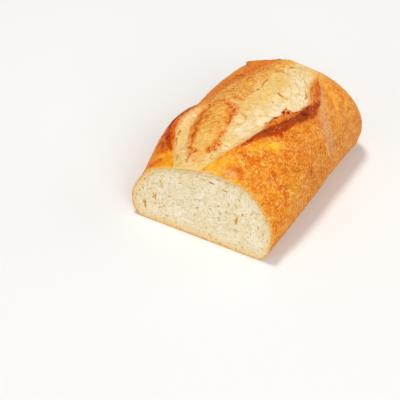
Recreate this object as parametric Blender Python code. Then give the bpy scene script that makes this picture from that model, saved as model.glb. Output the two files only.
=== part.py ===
# Sourdough batard with its first end sliced away: one solid loaf.
#
# Units are metres, +Z up.  While the loaf is being shaped, the origin is the
# middle of the cut face's bottom edge and +Y runs into the loaf, towards its
# rounded end.  At the end the mesh is moved so that the origin is the middle
# of the bounding box's bottom.
#
# The outside is a stack of closed rings from the cut face to the rounded end.
# Every ring is a superellipse arch standing on a flat sole.  Two columns of
# the grid run along the lips of the one long score, so the ear (right lip),
# the torn-up left lip and the domed bloom between them are true edges.

import math

import bmesh
import bpy
import numpy as np

# ---------------------------------------------------------------- dimensions
LENGTH = 0.1803          # cut face (at the sole) to the rounded end
END_START = 0.85         # share of the length where the rounded end begins
END_POWER_TOP = 2.30     # how blunt the end is, seen from above
END_POWER_SOLE = 2.41    # how fast the sole lifts under the end
END_HEIGHT = 0.0209      # height of the rounded end's foremost point
CUT_LEAN = 0.243         # the cut face leans back by this much per unit height

# share of the length, half width, height, sideways drift of the middle
STATIONS = (0.00, 0.20, 0.42, 0.62, 0.80, 1.00)
HALF_WIDTH = (0.0595, 0.0616, 0.0627, 0.0617, 0.0616, 0.0635)
HEIGHT = (0.0519, 0.0637, 0.0714, 0.0714, 0.0682, 0.0574)
DRIFT = (-0.0007, -0.0024, -0.0035, -0.0033, -0.0029, -0.0025)

ARCH_POWER_X = 2.075     # superellipse powers of the arch
ARCH_POWER_Z = 1.827
WIDEST_AT = 0.332        # height of the widest line, as a share of the height
SOLE_SHARE = 0.806       # half width of the flat sole / half width
SKEW = 0.052             # sideways lean of the arch

# the score: distance from the cut's bottom edge, and where each lip runs
LIP_RIGHT = ((0.010, -0.0105), (0.019, -0.0039), (0.029, 0.0023),
             (0.039, 0.0081), (0.052, 0.0147), (0.065, 0.0196),
             (0.082, 0.0229), (0.100, 0.0299), (0.110, 0.0315),
             (0.119, 0.0312), (0.130, 0.0250), (0.145, 0.0225),
             (0.160, 0.0190), (0.180, 0.0150))
LIP_LEFT = ((0.010, -0.0270), (0.021, -0.0340), (0.036, -0.0420),
            (0.049, -0.0471), (0.061, -0.0478), (0.083, -0.0423),
            (0.100, -0.0376), (0.120, -0.0361), (0.140, -0.0330),
            (0.160, -0.0260), (0.180, -0.0180))
# across the loaf: how far along the loaf the bloom reaches
BLOOM_END = ((-0.040, 0.116), (-0.030, 0.126), (-0.023, 0.132),
             (-0.015, 0.143), (-0.003, 0.148), (0.007, 0.149),
             (0.015, 0.148), (0.025, 0.144), (0.040, 0.130))

# along the loaf: height of the ear, of the left lip, and the bloom's dome
EAR_RISE = ((0.012, 0.0), (0.030, 0.0008), (0.055, 0.0019), (0.085, 0.0026),
            (0.108, 0.0030), (0.128, 0.0024), (0.145, 0.0010), (0.156, 0.0))
LIP_RISE = ((0.012, 0.0), (0.030, 0.0018), (0.052, 0.0032), (0.075, 0.0014),
            (0.095, 0.0012), (0.125, 0.0024), (0.145, 0.0018), (0.160, 0.0))
BLOOM_DOME = ((0.012, 0.0), (0.035, 0.0012), (0.070, 0.0022), (0.110, 0.0020),
              (0.140, 0.0008), (0.156, 0.0))
EAR_FALL = 0.010         # the ear fades into the flank over this distance
LIP_FALL = 0.008
GROOVE = 0.0016          # depth of the valley at the foot of each lip
GROOVE_WIDTH = 0.0050

LIP_LIMIT = 0.78         # no lip runs further out than this share of the half width

# the grid
RINGS = 46
COLUMNS_SOLE = 10
COLUMNS_RIGHT = 26       # sole edge to the right lip
COLUMNS_BLOOM = 15
COLUMNS_LEFT = 20        # left lip to the sole edge


# ------------------------------------------------------------------ helpers
def smooth_curve(knots_x, knots_y, x):
    """Monotone cubic through the knots, flat beyond both ends."""
    kx = np.asarray(knots_x, float)
    ky = np.asarray(knots_y, float)
    x = np.clip(np.asarray(x, float), kx[0], kx[-1])
    h = np.diff(kx)
    d = np.diff(ky) / h
    m = np.zeros_like(ky)
    for i in range(1, len(kx) - 1):
        if d[i - 1] * d[i] > 0:
            w1, w2 = 2 * h[i] + h[i - 1], h[i] + 2 * h[i - 1]
            m[i] = (w1 + w2) / (w1 / d[i - 1] + w2 / d[i])
    m[0], m[-1] = d[0], d[-1]
    i = np.clip(np.searchsorted(kx, x) - 1, 0, len(kx) - 2)
    s = (x - kx[i]) / h[i]
    return ((1 + 2 * s) * (1 - s) ** 2 * ky[i] + s * (1 - s) ** 2 * h[i] * m[i]
            + s * s * (3 - 2 * s) * ky[i + 1] + s * s * (s - 1) * h[i] * m[i + 1])


def along(table, y):
    return smooth_curve([k[0] for k in table], [k[1] for k in table], y)


def smoothstep(a, b, x):
    s = np.clip((x - a) / (b - a), 0.0, 1.0)
    return s * s * (3 - 2 * s)


# -------------------------------------------------------------- plain body
def section(t, n=240):
    """Closed outline of the plain loaf at share t: points, in order from the
    middle of the sole to the right, over the top and back along the left."""
    r = max(0.0, (t - END_START) / (1 - END_START))
    g = max((1 - r ** END_POWER_TOP) ** (1 / END_POWER_TOP), 0.02)
    gs = (1 - r ** END_POWER_SOLE) ** (1 / END_POWER_SOLE)
    width = float(smooth_curve(STATIONS, HALF_WIDTH, t)) * g
    top = END_HEIGHT + (float(smooth_curve(STATIONS, HEIGHT, t)) - END_HEIGHT) * g
    sole = END_HEIGHT * (1 - gs)
    mid = sole + (top - sole) * WIDEST_AT
    drift = float(smooth_curve(STATIONS, DRIFT, t))
    flat = SOLE_SHARE * width

    a = np.linspace(0, math.pi, n)
    arch_x = width * np.sign(np.cos(a)) * np.abs(np.cos(a)) ** (2 / ARCH_POWER_X)
    arch_z = mid + (top - mid) * np.abs(np.sin(a)) ** (2 / ARCH_POWER_Z)
    arch_x = arch_x + SKEW * (arch_z - mid)
    b = np.linspace(0, math.pi / 2, 40)
    low_x = flat + (width - flat) * np.sin(b)
    low_z = sole + (mid - sole) * (1 - np.cos(b))
    sole_x = np.linspace(0, flat, 12)[:-1]
    x = np.concatenate([sole_x, low_x[:-1], arch_x, -low_x[::-1][1:], -sole_x[::-1]])
    z = np.concatenate([np.full(11, sole), low_z[:-1], arch_z,
                        low_z[::-1][1:], np.full(11, sole)])
    z[-11:] = sole
    x = x + drift
    y = t * LENGTH + CUT_LEAN * z * (1 - min(t / 0.5, 1.0)) ** 2
    marks = (10, 11 + 39, 11 + 39 + n - 1)      # sole edge, widest right, widest left
    return np.stack([x, y, z], 1), marks, width, drift


def lip_index(points, lo, hi, table, width, drift, side):
    """Fractional index of the point where a lip crosses this ring."""
    seg = points[lo:hi + 1]
    target = along(table, seg[:, 1])
    limit = drift + side * LIP_LIMIT * width
    target = np.minimum(target, limit) if side > 0 else np.maximum(target, limit)
    f = seg[:, 0] - target                      # falls from right to left
    for i in range(len(f) - 1):
        if f[i] >= 0 > f[i + 1]:
            return lo + i + f[i] / (f[i] - f[i + 1])
    return lo + (hi - lo) * (0.4 if side > 0 else 0.6)


def resample(points, start, stop, count, gather_start, gather_stop):
    """count points from start up to, but without, stop, evenly by length,
    gathered towards either end where asked."""
    idx = np.arange(len(points), dtype=float)
    s = np.linspace(0, 1, count + 1)[:-1]
    if gather_start and gather_stop:
        s = s - 0.11 * np.sin(2 * math.pi * s)
    elif gather_stop:
        s = 1 - (1 - s) ** 1.2
    elif gather_start:
        s = s ** 1.2
    dense = np.linspace(start, stop, 400)
    p = np.stack([np.interp(dense, idx, points[:, k]) for k in range(3)], 1)
    length = np.concatenate([[0], np.cumsum(np.linalg.norm(np.diff(p, axis=0), axis=1))])
    at = np.interp(s * length[-1], length, dense)
    return np.stack([np.interp(at, idx, points[:, k]) for k in range(3)], 1)


def ring(t):
    pts, marks, width, drift = section(t)
    n = len(pts)
    wide_r, wide_l = marks[1], marks[2]
    sole_r = 11.0
    sole_l = float(n - 12)
    r = lip_index(pts, wide_r, wide_l, LIP_RIGHT, width, drift, +1)
    l = lip_index(pts, wide_r, wide_l, LIP_LEFT, width, drift, -1)
    first = pts[0]
    half = COLUMNS_SOLE // 2
    parts = [resample(pts, 0.0, sole_r, half, False, False),
             resample(pts, sole_r, r, COLUMNS_RIGHT, False, True),
             resample(pts, r, l, COLUMNS_BLOOM, True, True),
             resample(pts, l, sole_l, COLUMNS_LEFT, True, False),
             resample(pts, sole_l, n - 1.0, half, False, False)]
    out = np.concatenate(parts)
    out[0] = first
    return out


# ------------------------------------------------------------------- relief
def relief(x, y):
    """How far the score lifts the surface, along its normal."""
    column = np.broadcast_to(np.arange(x.shape[1]), x.shape)
    at_right = COLUMNS_SOLE // 2 + COLUMNS_RIGHT
    at_left = at_right + COLUMNS_BLOOM
    flank_r, flank_l = column <= at_right, column >= at_left
    bloom = ~flank_r & ~flank_l
    right = x - x[:, at_right:at_right + 1]     # distance past each lip
    left = x - x[:, at_left:at_left + 1]
    reach = along(BLOOM_END, x)
    inside = smoothstep(reach + 0.004, reach - 0.004, y)
    ear, lip = along(EAR_RISE, y), along(LIP_RISE, y)
    fade = smoothstep(0.014, 0.030, y) * smoothstep(0.166, 0.150, y)

    lift = np.zeros_like(x)
    lift += np.where(flank_r, ear * np.exp(-np.maximum(right, 0) / EAR_FALL), 0)
    lift += np.where(flank_l, lip * np.exp(np.minimum(left, 0) / LIP_FALL), 0)
    across = np.clip(left / np.maximum(left - right, 1e-6), 0, 1)
    dome = along(BLOOM_DOME, y) * np.sin(math.pi * across) ** 0.8 * inside
    valley = GROOVE * fade * (np.exp(np.minimum(right, 0) / GROOVE_WIDTH)
                              + np.exp(-np.maximum(left, 0) / GROOVE_WIDTH)) * inside
    lift += np.where(bloom, dome - valley, 0)
    return lift


def normals(grid):
    """Outward normals of a grid of rings (closed around, open at both ends)."""
    du = np.gradient(grid, axis=0)
    dv = (np.roll(grid, -1, axis=1) - np.roll(grid, 1, axis=1)) / 2
    nrm = np.cross(du, dv)
    return nrm / np.maximum(np.linalg.norm(nrm, axis=2, keepdims=True), 1e-12)


def build_grid():
    share = 1 - (1 - np.linspace(0, 1, RINGS)) ** 1.6
    grid = np.array([ring(t) for t in share])
    nrm = normals(grid)
    lift = relief(grid[:, :, 0], grid[:, :, 1])
    # only the upper half of the loaf is scored
    lift *= smoothstep(0.3, 0.6, nrm[:, :, 2])
    lift[0] = 0.0
    return grid + nrm * lift[:, :, None]


# --------------------------------------------------------------------- mesh
def make_loaf():
    grid = build_grid()
    low, high = grid.reshape(-1, 3).min(0), grid.reshape(-1, 3).max(0)
    shift = np.array([(low[0] + high[0]) / 2, (low[1] + high[1]) / 2, low[2]])
    grid = grid - shift

    bm = bmesh.new()
    rows = [[bm.verts.new(p) for p in row] for row in grid]
    cols = len(rows[0])
    for a, b in zip(rows[:-1], rows[1:]):
        for j in range(cols):
            k = (j + 1) % cols
            bm.faces.new((a[j], a[k], b[k], b[j]))
    bm.faces.new(rows[0][::-1])                 # the flat cut face
    bm.faces.new(rows[-1])                      # tip of the rounded end
    bmesh.ops.recalc_face_normals(bm, faces=bm.faces)
    bmesh.ops.triangulate(bm, faces=bm.faces)
    mesh = bpy.data.meshes.new("loaf")
    bm.to_mesh(mesh)
    bm.free()
    mesh.shade_smooth()
    mesh.set_sharp_from_angle(angle=math.radians(38))
    obj = bpy.data.objects.new("loaf", mesh)
    bpy.context.scene.collection.objects.link(obj)
    return obj


def crust_material():
    mat = bpy.data.materials.new("crust")
    mat.use_nodes = True
    bsdf = mat.node_tree.nodes["Principled BSDF"]
    bsdf.inputs["Base Color"].default_value = (0.72, 0.36, 0.09, 1.0)
    bsdf.inputs["Roughness"].default_value = 0.62
    bsdf.inputs["Metallic"].default_value = 0.0
    return mat


for old in list(bpy.data.objects):
    bpy.data.objects.remove(old)

loaf = make_loaf()
loaf.data.materials.append(crust_material())
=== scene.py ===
import math

import bpy
import numpy as np
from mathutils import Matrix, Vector


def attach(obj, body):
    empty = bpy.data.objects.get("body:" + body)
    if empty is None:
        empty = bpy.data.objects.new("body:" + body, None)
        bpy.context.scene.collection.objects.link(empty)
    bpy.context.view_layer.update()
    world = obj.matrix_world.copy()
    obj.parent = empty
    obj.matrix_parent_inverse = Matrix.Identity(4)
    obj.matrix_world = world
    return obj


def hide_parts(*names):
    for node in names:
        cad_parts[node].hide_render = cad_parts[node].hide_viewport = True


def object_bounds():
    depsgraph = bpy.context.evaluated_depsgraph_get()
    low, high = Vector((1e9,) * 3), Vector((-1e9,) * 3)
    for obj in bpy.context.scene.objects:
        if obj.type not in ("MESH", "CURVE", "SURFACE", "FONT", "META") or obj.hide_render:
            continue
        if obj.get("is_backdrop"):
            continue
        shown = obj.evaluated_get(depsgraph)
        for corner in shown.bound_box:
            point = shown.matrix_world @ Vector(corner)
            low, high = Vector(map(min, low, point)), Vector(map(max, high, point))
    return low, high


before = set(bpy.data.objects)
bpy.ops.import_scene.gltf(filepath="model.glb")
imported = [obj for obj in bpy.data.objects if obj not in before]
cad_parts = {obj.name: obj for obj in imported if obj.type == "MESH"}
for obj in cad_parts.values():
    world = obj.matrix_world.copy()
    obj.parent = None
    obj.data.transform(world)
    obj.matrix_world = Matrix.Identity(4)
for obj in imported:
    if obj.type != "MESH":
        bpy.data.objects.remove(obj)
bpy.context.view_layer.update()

PI = math.pi

# ===================================================================== shape
# The same driving dimensions as the CAD solid, in metres.  Origin: middle of
# the cut face's bottom edge, +Y into the loaf.
LENGTH = 0.1803
END_START = 0.85
END_POWER_TOP = 2.30
END_POWER_SOLE = 2.41
END_HEIGHT = 0.0209
CUT_LEAN = 0.243
STATIONS = (0.00, 0.20, 0.42, 0.62, 0.80, 1.00)
HALF_WIDTH = (0.0595, 0.0616, 0.0627, 0.0617, 0.0616, 0.0635)
HEIGHT = (0.0519, 0.0637, 0.0714, 0.0714, 0.0682, 0.0574)
DRIFT = (-0.0007, -0.0024, -0.0035, -0.0033, -0.0029, -0.0025)
ARCH_POWER_X = 2.075
ARCH_POWER_Z = 1.827
WIDEST_AT = 0.332
SOLE_SHARE = 0.806
SKEW = 0.052
LIP_LIMIT = 0.78

LIP_RIGHT = ((0.010, -0.0098), (0.0189, -0.0036), (0.0229, -0.0005), (0.0284, 0.0030),
             (0.0331, 0.0064), (0.0380, 0.0095), (0.0431, 0.0124), (0.0488, 0.0151),
             (0.0533, 0.0169), (0.0572, 0.0187), (0.0603, 0.0204), (0.0643, 0.0229),
             (0.0683, 0.0249), (0.0727, 0.0266), (0.0773, 0.0282), (0.0824, 0.0297),
             (0.0882, 0.0308), (0.0925, 0.0315), (0.0986, 0.0325), (0.1065, 0.0337),
             (0.1107, 0.0341), (0.1150, 0.0334), (0.1199, 0.0312), (0.1245, 0.0284),
             (0.1290, 0.0264), (0.1340, 0.0252), (0.1387, 0.0243), (0.1430, 0.0237),
             (0.1500, 0.0222), (0.160, 0.0190), (0.180, 0.0150))
LIP_LEFT = ((0.010, -0.0285), (0.0170, -0.0318), (0.0232, -0.0356), (0.0271, -0.0371),
            (0.0340, -0.0385), (0.0421, -0.0402), (0.0475, -0.0411), (0.0510, -0.0406),
            (0.0580, -0.0388), (0.0630, -0.0370), (0.0692, -0.0364), (0.0760, -0.0378),
            (0.0825, -0.0393), (0.0902, -0.0401), (0.0955, -0.0390), (0.1027, -0.0368),
            (0.1087, -0.0335), (0.1139, -0.0296), (0.1194, -0.0257), (0.1278, -0.0228),
            (0.1357, -0.0204), (0.1421, -0.0176), (0.1505, -0.0158), (0.165, -0.0150),
            (0.180, -0.0140))
BLOOM_END = ((-0.040, 0.150), (-0.020, 0.160), (-0.010, 0.1635), (0.0, 0.1645),
             (0.010, 0.1625), (0.020, 0.1570), (0.030, 0.148), (0.040, 0.135))
EAR_RISE = ((0.012, 0.0), (0.030, 0.0010), (0.055, 0.0022), (0.085, 0.0030),
            (0.108, 0.0034), (0.128, 0.0030), (0.145, 0.0018), (0.158, 0.0004), (0.165, 0.0))
LIP_RISE = ((0.012, 0.0), (0.030, 0.0012), (0.052, 0.0026), (0.066, 0.0018), (0.080, 0.0010),
            (0.100, 0.0014), (0.125, 0.0022), (0.145, 0.0018), (0.160, 0.0))
# the whole left shoulder swells out by the lip and draws in behind it
SHOULDER = ((0.000, 0.0), (0.018, -0.0002), (0.030, 0.0026), (0.042, 0.0056), (0.054, 0.0062),
            (0.064, 0.0044), (0.073, 0.0009), (0.081, -0.0021), (0.095, -0.0027),
            (0.115, -0.0019), (0.135, -0.0010), (0.150, -0.0004), (0.170, 0.0))
BLOOM_DOME = ((0.012, 0.0), (0.035, 0.0012), (0.070, 0.0022), (0.110, 0.0020),
              (0.140, 0.0013), (0.155, 0.0006), (0.166, 0.0))
# right edge of the scorched band under the ear: where along, how far across
BURN_EDGE = ((0.030, 0.0043), (0.0340, 0.0080), (0.0382, 0.0129), (0.0406, 0.0148), (0.0441, 0.0169),
             (0.0479, 0.0190), (0.0511, 0.0213), (0.0552, 0.0239), (0.0585, 0.0271), (0.0611, 0.0305),
             (0.0645, 0.0331), (0.0685, 0.0326), (0.0742, 0.0336), (0.0805, 0.0351), (0.0869, 0.0370),
             (0.0937, 0.0378), (0.1000, 0.0391), (0.1061, 0.0395), (0.1127, 0.0391), (0.1192, 0.0371),
             (0.1261, 0.0339), (0.1329, 0.0305), (0.1384, 0.0272), (0.1424, 0.0246), (0.155, 0.0215))
# torn strip still hanging inside the ear: its inner edge
FLAP_EDGE = ((0.0585, 0.0205), (0.0610, 0.0186), (0.0626, 0.0177), (0.0652, 0.0178), (0.0681, 0.0189),
             (0.0724, 0.0201), (0.0765, 0.0211), (0.0806, 0.0223), (0.0830, 0.0220), (0.0845, 0.0218),
             (0.0876, 0.0220), (0.0897, 0.0226), (0.0905, 0.0240), (0.0912, 0.0259), (0.0923, 0.0276),
             (0.0952, 0.0289), (0.0996, 0.0301), (0.1054, 0.0310), (0.1096, 0.0318), (0.1148, 0.0327))
# where the browned far left part of the bloom ends, across
TAN_EDGE = ((0.055, -0.056), (0.063, -0.042), (0.070, -0.026), (0.075, -0.014), (0.080, -0.0075),
            (0.086, -0.0070), (0.095, -0.0085), (0.106, -0.0066), (0.116, -0.0062), (0.129, -0.0060),
            (0.146, -0.0020), (0.165, 0.0))

# the outline of the cut face against the plain arch: where across, how far out
CUT_TRIM = ((-0.0600, 0.0004), (-0.0526, 0.0014), (-0.0498, 0.0014), (-0.0457, 0.0008), (-0.0391, -0.0005),
            (-0.0308, -0.0014), (-0.0227, -0.0017), (-0.0145, -0.0017), (-0.0063, -0.0013), (-0.0023, -0.0005),
            (0.0017, 0.0003), (0.0057, 0.0006), (0.0140, 0.0006), (0.0181, 0.0009), (0.0222, 0.0013),
            (0.0263, 0.0016), (0.0305, 0.0017), (0.0348, 0.0016), (0.0392, 0.0011), (0.0420, 0.0003),
            (0.0448, -0.0002), (0.0476, -0.0006), (0.0498, -0.0008), (0.0523, -0.0010), (0.0545, -0.0013),
            (0.0565, -0.0016), (0.0600, -0.0016))

RINGS = 274
COLS_SOLE = 20
COLS_RIGHT = 126
COLS_BLOOM = 98
COLS_LEFT = 82


def curve(kx, ky, x):
    kx, ky = np.asarray(kx, float), np.asarray(ky, float)
    x = np.clip(np.asarray(x, float), kx[0], kx[-1])
    h = np.diff(kx)
    d = np.diff(ky) / h
    m = np.zeros_like(ky)
    for i in range(1, len(kx) - 1):
        if d[i - 1] * d[i] > 0:
            w1, w2 = 2 * h[i] + h[i - 1], h[i] + 2 * h[i - 1]
            m[i] = (w1 + w2) / (w1 / d[i - 1] + w2 / d[i])
    m[0], m[-1] = d[0], d[-1]
    i = np.clip(np.searchsorted(kx, x) - 1, 0, len(kx) - 2)
    s = (x - kx[i]) / h[i]
    return ((1 + 2 * s) * (1 - s) ** 2 * ky[i] + s * (1 - s) ** 2 * h[i] * m[i]
            + s * s * (3 - 2 * s) * ky[i + 1] + s * s * (s - 1) * h[i] * m[i + 1])


def along(table, y):
    return curve([k[0] for k in table], [k[1] for k in table], y)


def step(a, b, x):
    s = np.clip((x - a) / (b - a), 0.0, 1.0)
    return s * s * (3 - 2 * s)


def bump(x, centre, half):
    return np.exp(-((x - centre) / half) ** 2)


# ---------------------------------------------------------------- noise
_G = np.array([(a, b, c) for a in (-1, 0, 1) for b in (-1, 0, 1) for c in (-1, 0, 1)
               if abs(a) + abs(b) + abs(c) == 2], float)


def _hash(ix, iy, iz, seed):
    h = (ix.astype(np.uint32) * np.uint32(374761393)
         + iy.astype(np.uint32) * np.uint32(668265263)
         + iz.astype(np.uint32) * np.uint32(1274126177)
         + np.uint32(seed * 69069 + 12345))
    h ^= h >> np.uint32(13)
    h *= np.uint32(1103515245)
    h ^= h >> np.uint32(16)
    h *= np.uint32(2654435761)
    h ^= h >> np.uint32(15)
    return h


def noise(p, size, seed=0):
    """Gradient noise, about -1 to 1, of points p (..., 3) at a feature size."""
    p = np.asarray(p, float) / size + 1000.0
    i = np.floor(p).astype(np.int64)
    f = p - i
    u = f * f * f * (f * (f * 6 - 15) + 10)
    out = 0.0
    for dx in (0, 1):
        wx = u[..., 0] if dx else 1 - u[..., 0]
        for dy in (0, 1):
            wy = u[..., 1] if dy else 1 - u[..., 1]
            for dz in (0, 1):
                wz = u[..., 2] if dz else 1 - u[..., 2]
                g = _G[_hash(i[..., 0] + dx, i[..., 1] + dy, i[..., 2] + dz, seed) % 12]
                d = ((f[..., 0] - dx) * g[..., 0] + (f[..., 1] - dy) * g[..., 1]
                     + (f[..., 2] - dz) * g[..., 2])
                out = out + wx * wy * wz * d
    return out * 1.3


def fbm(p, size, octaves=3, gain=0.5, seed=0):
    out, amp, total = 0.0, 1.0, 0.0
    for k in range(octaves):
        out = out + amp * noise(p, size / 2 ** k, seed + 17 * k)
        total += amp
        amp *= gain
    return out / total


# ---------------------------------------------------------------- plain loaf
def section(t, n=420):
    r = max(0.0, (t - END_START) / (1 - END_START))
    g = max((1 - r ** END_POWER_TOP) ** (1 / END_POWER_TOP), 0.02)
    gs = (1 - r ** END_POWER_SOLE) ** (1 / END_POWER_SOLE)
    width = float(curve(STATIONS, HALF_WIDTH, t)) * g
    top = END_HEIGHT + (float(curve(STATIONS, HEIGHT, t)) - END_HEIGHT) * g
    sole = END_HEIGHT * (1 - gs)
    mid = sole + (top - sole) * WIDEST_AT
    drift = float(curve(STATIONS, DRIFT, t))
    flat = SOLE_SHARE * width
    a = np.linspace(0, PI, n)
    arch_x = width * np.sign(np.cos(a)) * np.abs(np.cos(a)) ** (2 / ARCH_POWER_X)
    arch_z = mid + (top - mid) * np.abs(np.sin(a)) ** (2 / ARCH_POWER_Z)
    arch_x = arch_x + SKEW * (arch_z - mid)
    b = np.linspace(0, PI / 2, 60)
    low_x = flat + (width - flat) * np.sin(b)
    low_z = sole + (mid - sole) * (1 - np.cos(b))
    sole_x = np.linspace(0, flat, 12)[:-1]
    x = np.concatenate([sole_x, low_x[:-1], arch_x, -low_x[::-1][1:], -sole_x[::-1]])
    z = np.concatenate([np.full(11, sole), low_z[:-1], arch_z,
                        low_z[::-1][1:], np.full(11, sole)])
    x = x + drift
    y = t * LENGTH + CUT_LEAN * z * (1 - min(t / 0.5, 1.0)) ** 2
    return np.stack([x, y, z], 1), (11 + 59, 11 + 59 + n - 1), width, drift


def ragged(y, seed, start, amount):
    """Small tears along a lip."""
    q = np.stack([y, y * 0 + seed, y * 0], -1)
    torn = fbm(q, 0.006, 3, 0.6, seed)
    return amount * step(start, start + 0.02, y) * torn


def lip_index(pts, lo, hi, table, width, drift, side, seed, start, amount):
    seg = pts[lo:hi + 1]
    target = along(table, seg[:, 1]) + ragged(seg[:, 1], seed, start, amount)
    limit = drift + side * LIP_LIMIT * width
    target = np.minimum(target, limit) if side > 0 else np.maximum(target, limit)
    f = seg[:, 0] - target
    hit = np.flatnonzero((f[:-1] >= 0) & (f[1:] < 0))
    if len(hit):
        i = hit[0]
        return lo + i + f[i] / (f[i] - f[i + 1])
    return lo + (hi - lo) * (0.4 if side > 0 else 0.6)


def resample(pts, start, stop, count, mode):
    idx = np.arange(len(pts), dtype=float)
    s = np.linspace(0, 1, count + 1)[:-1]
    if mode == "both":
        s = s - 0.105 * np.sin(2 * PI * s)
    elif mode == "stop":
        s = 1 - (1 - s) ** 1.22
    elif mode == "start":
        s = s ** 1.22
    dense = np.linspace(start, stop, 900)
    p = np.stack([np.interp(dense, idx, pts[:, k]) for k in range(3)], 1)
    length = np.concatenate([[0], np.cumsum(np.linalg.norm(np.diff(p, axis=0), axis=1))])
    at = np.interp(s * length[-1], length, dense)
    return np.stack([np.interp(at, idx, pts[:, k]) for k in range(3)], 1)


def ring(t):
    pts, wide, width, drift = section(t)
    n = len(pts)
    r = lip_index(pts, wide[0], wide[1], LIP_RIGHT, width, drift, +1, 3, 0.055, 0.0011)
    l = lip_index(pts, wide[0], wide[1], LIP_LEFT, width, drift, -1, 7, 0.020, 0.0012)
    half = COLS_SOLE // 2
    return np.concatenate([resample(pts, 0.0, 11.0, half, ""),
                           resample(pts, 11.0, r, COLS_RIGHT, "stop"),
                           resample(pts, r, l, COLS_BLOOM, "both"),
                           resample(pts, l, n - 12.0, COLS_LEFT, "start"),
                           resample(pts, n - 12.0, n - 1.0, half, "")])


def normals(grid):
    du = np.gradient(grid, axis=0)
    dv = (np.roll(grid, -1, axis=1) - np.roll(grid, 1, axis=1)) / 2
    nrm = np.cross(du, dv)
    return nrm / np.maximum(np.linalg.norm(nrm, axis=2, keepdims=True), 1e-12)


share = 1 - (1 - np.linspace(0, 1, RINGS)) ** 1.28
base = np.array([ring(t) for t in share])
NR, NC = base.shape[:2]
k_n = np.array([0.0, -1.0, CUT_LEAN]) / math.hypot(1, CUT_LEAN)      # outward from the cut
k_up = np.array([0.0, CUT_LEAN, 1.0]) / math.hypot(1, CUT_LEAN)      # up in the cut plane
outward = normals(base)
outward = outward - (outward @ k_n)[..., None] * k_n
outward /= np.maximum(np.linalg.norm(outward, axis=2, keepdims=True), 1e-9)
trim = along(CUT_TRIM, base[..., 0]) * step(0.001, 0.012, base[..., 2])
behind = np.maximum(base[..., 1] - CUT_LEAN * base[..., 2], 0)
left_side = step(-0.030, -0.046, base[..., 0])
trim = trim * np.exp(-(behind / (0.026 - 0.016 * left_side)) ** 2)
# the left flank draws in a little just behind the cut
trim = trim - 0.00125 * left_side * bump(base[..., 2], 0.0295, 0.0068) * np.exp(-(behind / 0.016) ** 2)
trim = trim - 0.0004 * left_side * step(0.014, 0.030, base[..., 2]) * step(0.0, 0.010, behind) * step(0.032, 0.014, behind)
base = base + outward * trim[..., None]
CR = COLS_SOLE // 2 + COLS_RIGHT           # column of the right lip
CL = CR + COLS_BLOOM                       # column of the left lip
nrm = normals(base)
X, Y, Z = base[..., 0], base[..., 1], base[..., 2]
seg = np.linalg.norm(np.roll(base, -1, axis=1) - base, axis=2)
S = np.concatenate([np.zeros((NR, 1)), np.cumsum(seg, axis=1)[:, :-1]], axis=1)
aR = S[:, CR:CR + 1] - S                   # > 0 on the right flank
aL = S - S[:, CL:CL + 1]                   # > 0 on the left flank
tang = np.roll(base, -1, axis=1) - np.roll(base, 1, axis=1)
tang /= np.maximum(np.linalg.norm(tang, axis=2, keepdims=True), 1e-12)
col = np.broadcast_to(np.arange(NC), (NR, NC))
is_r, is_l = col <= CR, col >= CL
is_b = ~is_r & ~is_l
MM = 0.001

# ------------------------------------------------------------ masks and relief
upper = step(0.25, 0.55, nrm[..., 2])
reach = along(BLOOM_END, X + 0.002 * noise(base, 0.012, 5))
wob = fbm(base, 0.010, 3, 0.55, 11)
inside = step(reach + 0.0030, reach - 0.0030, Y + 0.0022 * wob)
bloom = np.where(is_b, inside, 0.0)
fade = step(0.013, 0.030, Y) * step(0.166, 0.150, Y)
ear = along(EAR_RISE, Y)
lip = along(LIP_RISE, Y)

lift = np.where(is_r, ear * np.exp(-np.maximum(aR, 0) / 0.010), 0.0)
lift += np.where(is_l, lip * np.exp(-np.maximum(aL, 0) / 0.008), 0.0)
shoulder = along(SHOULDER, Y) * np.exp(-(np.maximum(aL - 0.004, 0) / 0.022) ** 2) * np.where(X < 0, 1, 0)
shoulder *= np.where(is_b, np.exp(-(np.maximum(-aL, 0) / 0.0045) ** 2), 1.0)
lift += shoulder
across = np.clip(-aR / np.maximum(-aR - aL, 1e-6), 0, 1)
dome = along(BLOOM_DOME, Y) * np.sin(PI * across) ** 0.8 * inside
valley = fade * (0.0018 * np.exp(np.minimum(aR, 0) / 0.0045)
                 + 0.0020 * np.exp(np.minimum(aL, 0) / 0.0050)) * inside
lift += np.where(is_b, dome - valley, 0.0)


def path_field(pts, wander=0.0011, seed=95):
    """Distance to a plan polyline, and how strong and how wide it is there."""
    best = np.full(X.shape, 9.0)
    power = np.zeros(X.shape)
    wide = np.full(X.shape, 1.0)
    wx = X + wander * noise(base, 0.0045, seed)
    wy = Y + wander * noise(base, 0.0045, seed + 1)
    for a, b in zip(pts[:-1], pts[1:]):
        dx, dy = (b[0] - a[0]) * MM, (b[1] - a[1]) * MM
        t = np.clip(((wx - a[0] * MM) * dx + (wy - a[1] * MM) * dy) / (dx * dx + dy * dy), 0, 1)
        d = np.hypot(wx - a[0] * MM - t * dx, wy - a[1] * MM - t * dy)
        hit = d < best
        best = np.where(hit, d, best)
        power = np.where(hit, a[2] + t * (b[2] - a[2]), power)
        wide = np.where(hit, (a[3] + t * (b[3] - a[3])) * MM, wide)
    return power * np.exp(-(best / wide) ** 2), best


_WANDER = {}


def wandered(wander, seed):
    if (wander, seed) not in _WANDER:
        _WANDER[wander, seed] = base + wander * np.stack([noise(base, 0.0042, seed), noise(base, 0.0042, seed + 1),
                                                          noise(base, 0.0042, seed + 2)], -1)
    return _WANDER[wander, seed]


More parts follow.
